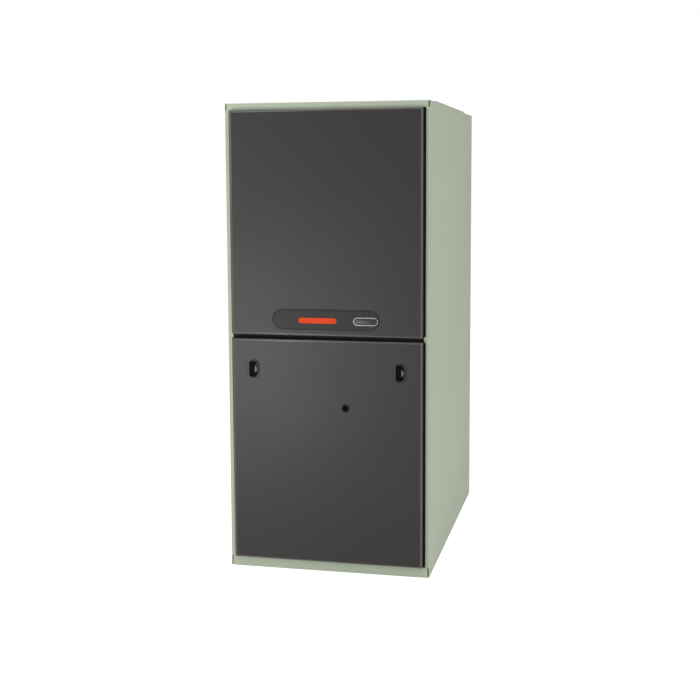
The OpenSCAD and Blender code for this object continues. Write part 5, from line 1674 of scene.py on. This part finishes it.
@dataclass
class Studio:
    """Pale floor, white surroundings, soft boxes and the photograph's camera."""

    camera_place: tuple[float, float, float] = (0.6051, -2.8115, 0.8640)
    camera_yaw: float = math.radians(12.675)
    camera_pitch: float = math.radians(-6.374)
    camera_roll: float = math.radians(-0.262)
    camera_lens: float = 61.41
    camera_shift: float = -0.06
    surroundings: float = 0.34
    floor_radius: float = 30
    floor_glow: float = 0.77
    lamps: tuple[Lamp, ...] = (
        Lamp("left_front_soft_box", (-1.3, -1.9, 1.3), (-0.1, -0.35, 0.8), 1.0, 1.0, 12.0),
        Lamp("low_front_soft_box", (-0.76, -2.05, 0.22), (-0.1, -0.36, 0.5), 0.6, 0.5, 19.0),
        Lamp("right_soft_box", (2.5, -0.9, 0.9), (0.2, 0.0, 0.5), 1.6, 1.6, 32.0),
        Lamp("top_soft_box", (0.1, -0.9, 2.8), (0.0, -0.2, 0.8), 0.9, 0.9, 27.0),
    )

    def build(self) -> None:
        """Builds the whole studio."""
        self.floor()
        self.world()
        for lamp in self.lamps:
            lamp.hang()
        self.camera()
        bpy.context.scene.view_settings.view_transform = "Standard"

    def floor(self) -> None:
        """Lays a wide pale floor that looks near white to the camera and keeps the shadow."""
        shape = bmesh.new()
        bmesh.ops.create_circle(shape, cap_ends=True, segments=96, radius=self.floor_radius)
        mesh = bpy.data.meshes.new("studio_floor")
        shape.to_mesh(mesh)
        shape.free()
        material, tree = new_material("matt_floor_paint")
        tree.nodes.clear()
        matt = add(tree, "ShaderNodeBsdfDiffuse", {"Color": linear("#C9C9C7")})
        glow = add(tree, "ShaderNodeEmission", {"Color": linear(WHITE), "Strength": self.floor_glow})
        pale = add(tree, "ShaderNodeBsdfDiffuse", {"Color": linear("#E4E4E2")})
        lit = add(tree, "ShaderNodeAddShader", {0: glow, 1: pale})
        both = add(tree, "ShaderNodeMixShader", {0: self.seen_directly(tree), 1: matt, 2: lit})
        add(tree, "ShaderNodeOutputMaterial", {"Surface": both})
        mesh.materials.append(material)
        link_mesh("studio_floor", mesh)

    @staticmethod
    def seen_directly(tree: NodeTree) -> Node:
        """Returns 1 for rays that show the surroundings to the eye, in a mirror or through glass."""
        rays = add(tree, "ShaderNodeLightPath").outputs
        seen = {0: rays["Is Camera Ray"], 1: rays["Is Glossy Ray"]}
        mirrored = add(tree, "ShaderNodeMath", seen, operation="MAXIMUM")
        through = {0: mirrored, 1: rays["Is Transmission Ray"]}
        return add(tree, "ShaderNodeMath", through, operation="MAXIMUM")

    def world(self) -> None:
        """Makes the surroundings white to the camera and a plain grey light elsewhere."""
        world = bpy.data.worlds.new("studio_surroundings")
        bpy.context.scene.world = world
        world.use_nodes = True
        tree = world.node_tree
        tree.nodes.clear()
        plain, white = (
            add(tree, "ShaderNodeBackground", {"Color": linear(WHITE), "Strength": strength})
            for strength in (self.surroundings, 1.0)
        )
        both = add(tree, "ShaderNodeMixShader", {0: self.seen_directly(tree), 1: plain, 2: white})
        add(tree, "ShaderNodeOutputWorld", {"Surface": both})

    def camera(self) -> None:
        """Sets the camera where the photograph was taken from."""
        data = bpy.data.cameras.new("photo_camera")
        data.lens = self.camera_lens
        data.shift_y = self.camera_shift
        made = bpy.data.objects.new("photo_camera", data)
        bpy.context.scene.collection.objects.link(made)
        made.matrix_world = (
            Matrix.Translation(self.camera_place)
            @ Matrix.Rotation(self.camera_yaw, 4, "Z")
            @ Matrix.Rotation(math.pi / 2 + self.camera_pitch, 4, "X")
            @ Matrix.Rotation(self.camera_roll, 4, "Z")
        )
        bpy.context.scene.camera = made


def main() -> None:
    """Builds the studio, then each sub-assembly in order."""
    logging.basicConfig(level=logging.INFO, format="%(name)s: %(message)s")
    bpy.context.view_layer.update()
    Studio().build()
    palette = Palette()
    fasteners = Fasteners(palette)
    assemblies: tuple[tuple[str, Callable[[], None]], ...] = (
        ("casing", Casing(palette, fasteners).build),
        ("doors", Doors(palette).build),
        ("heat exchanger", HeatExchanger(palette).build),
        ("gas train", GasTrain(palette, fasteners).build),
        ("inducer", Inducer(palette, fasteners).build),
        ("blower", Blower(palette).build),
        ("controls", Controls(palette).build),
        ("filter bay", FilterBay(palette).build),
    )
    for name, build in assemblies:
        LOG.info("building the %s", name)
        build()


if __name__ == "__main__":
    main()
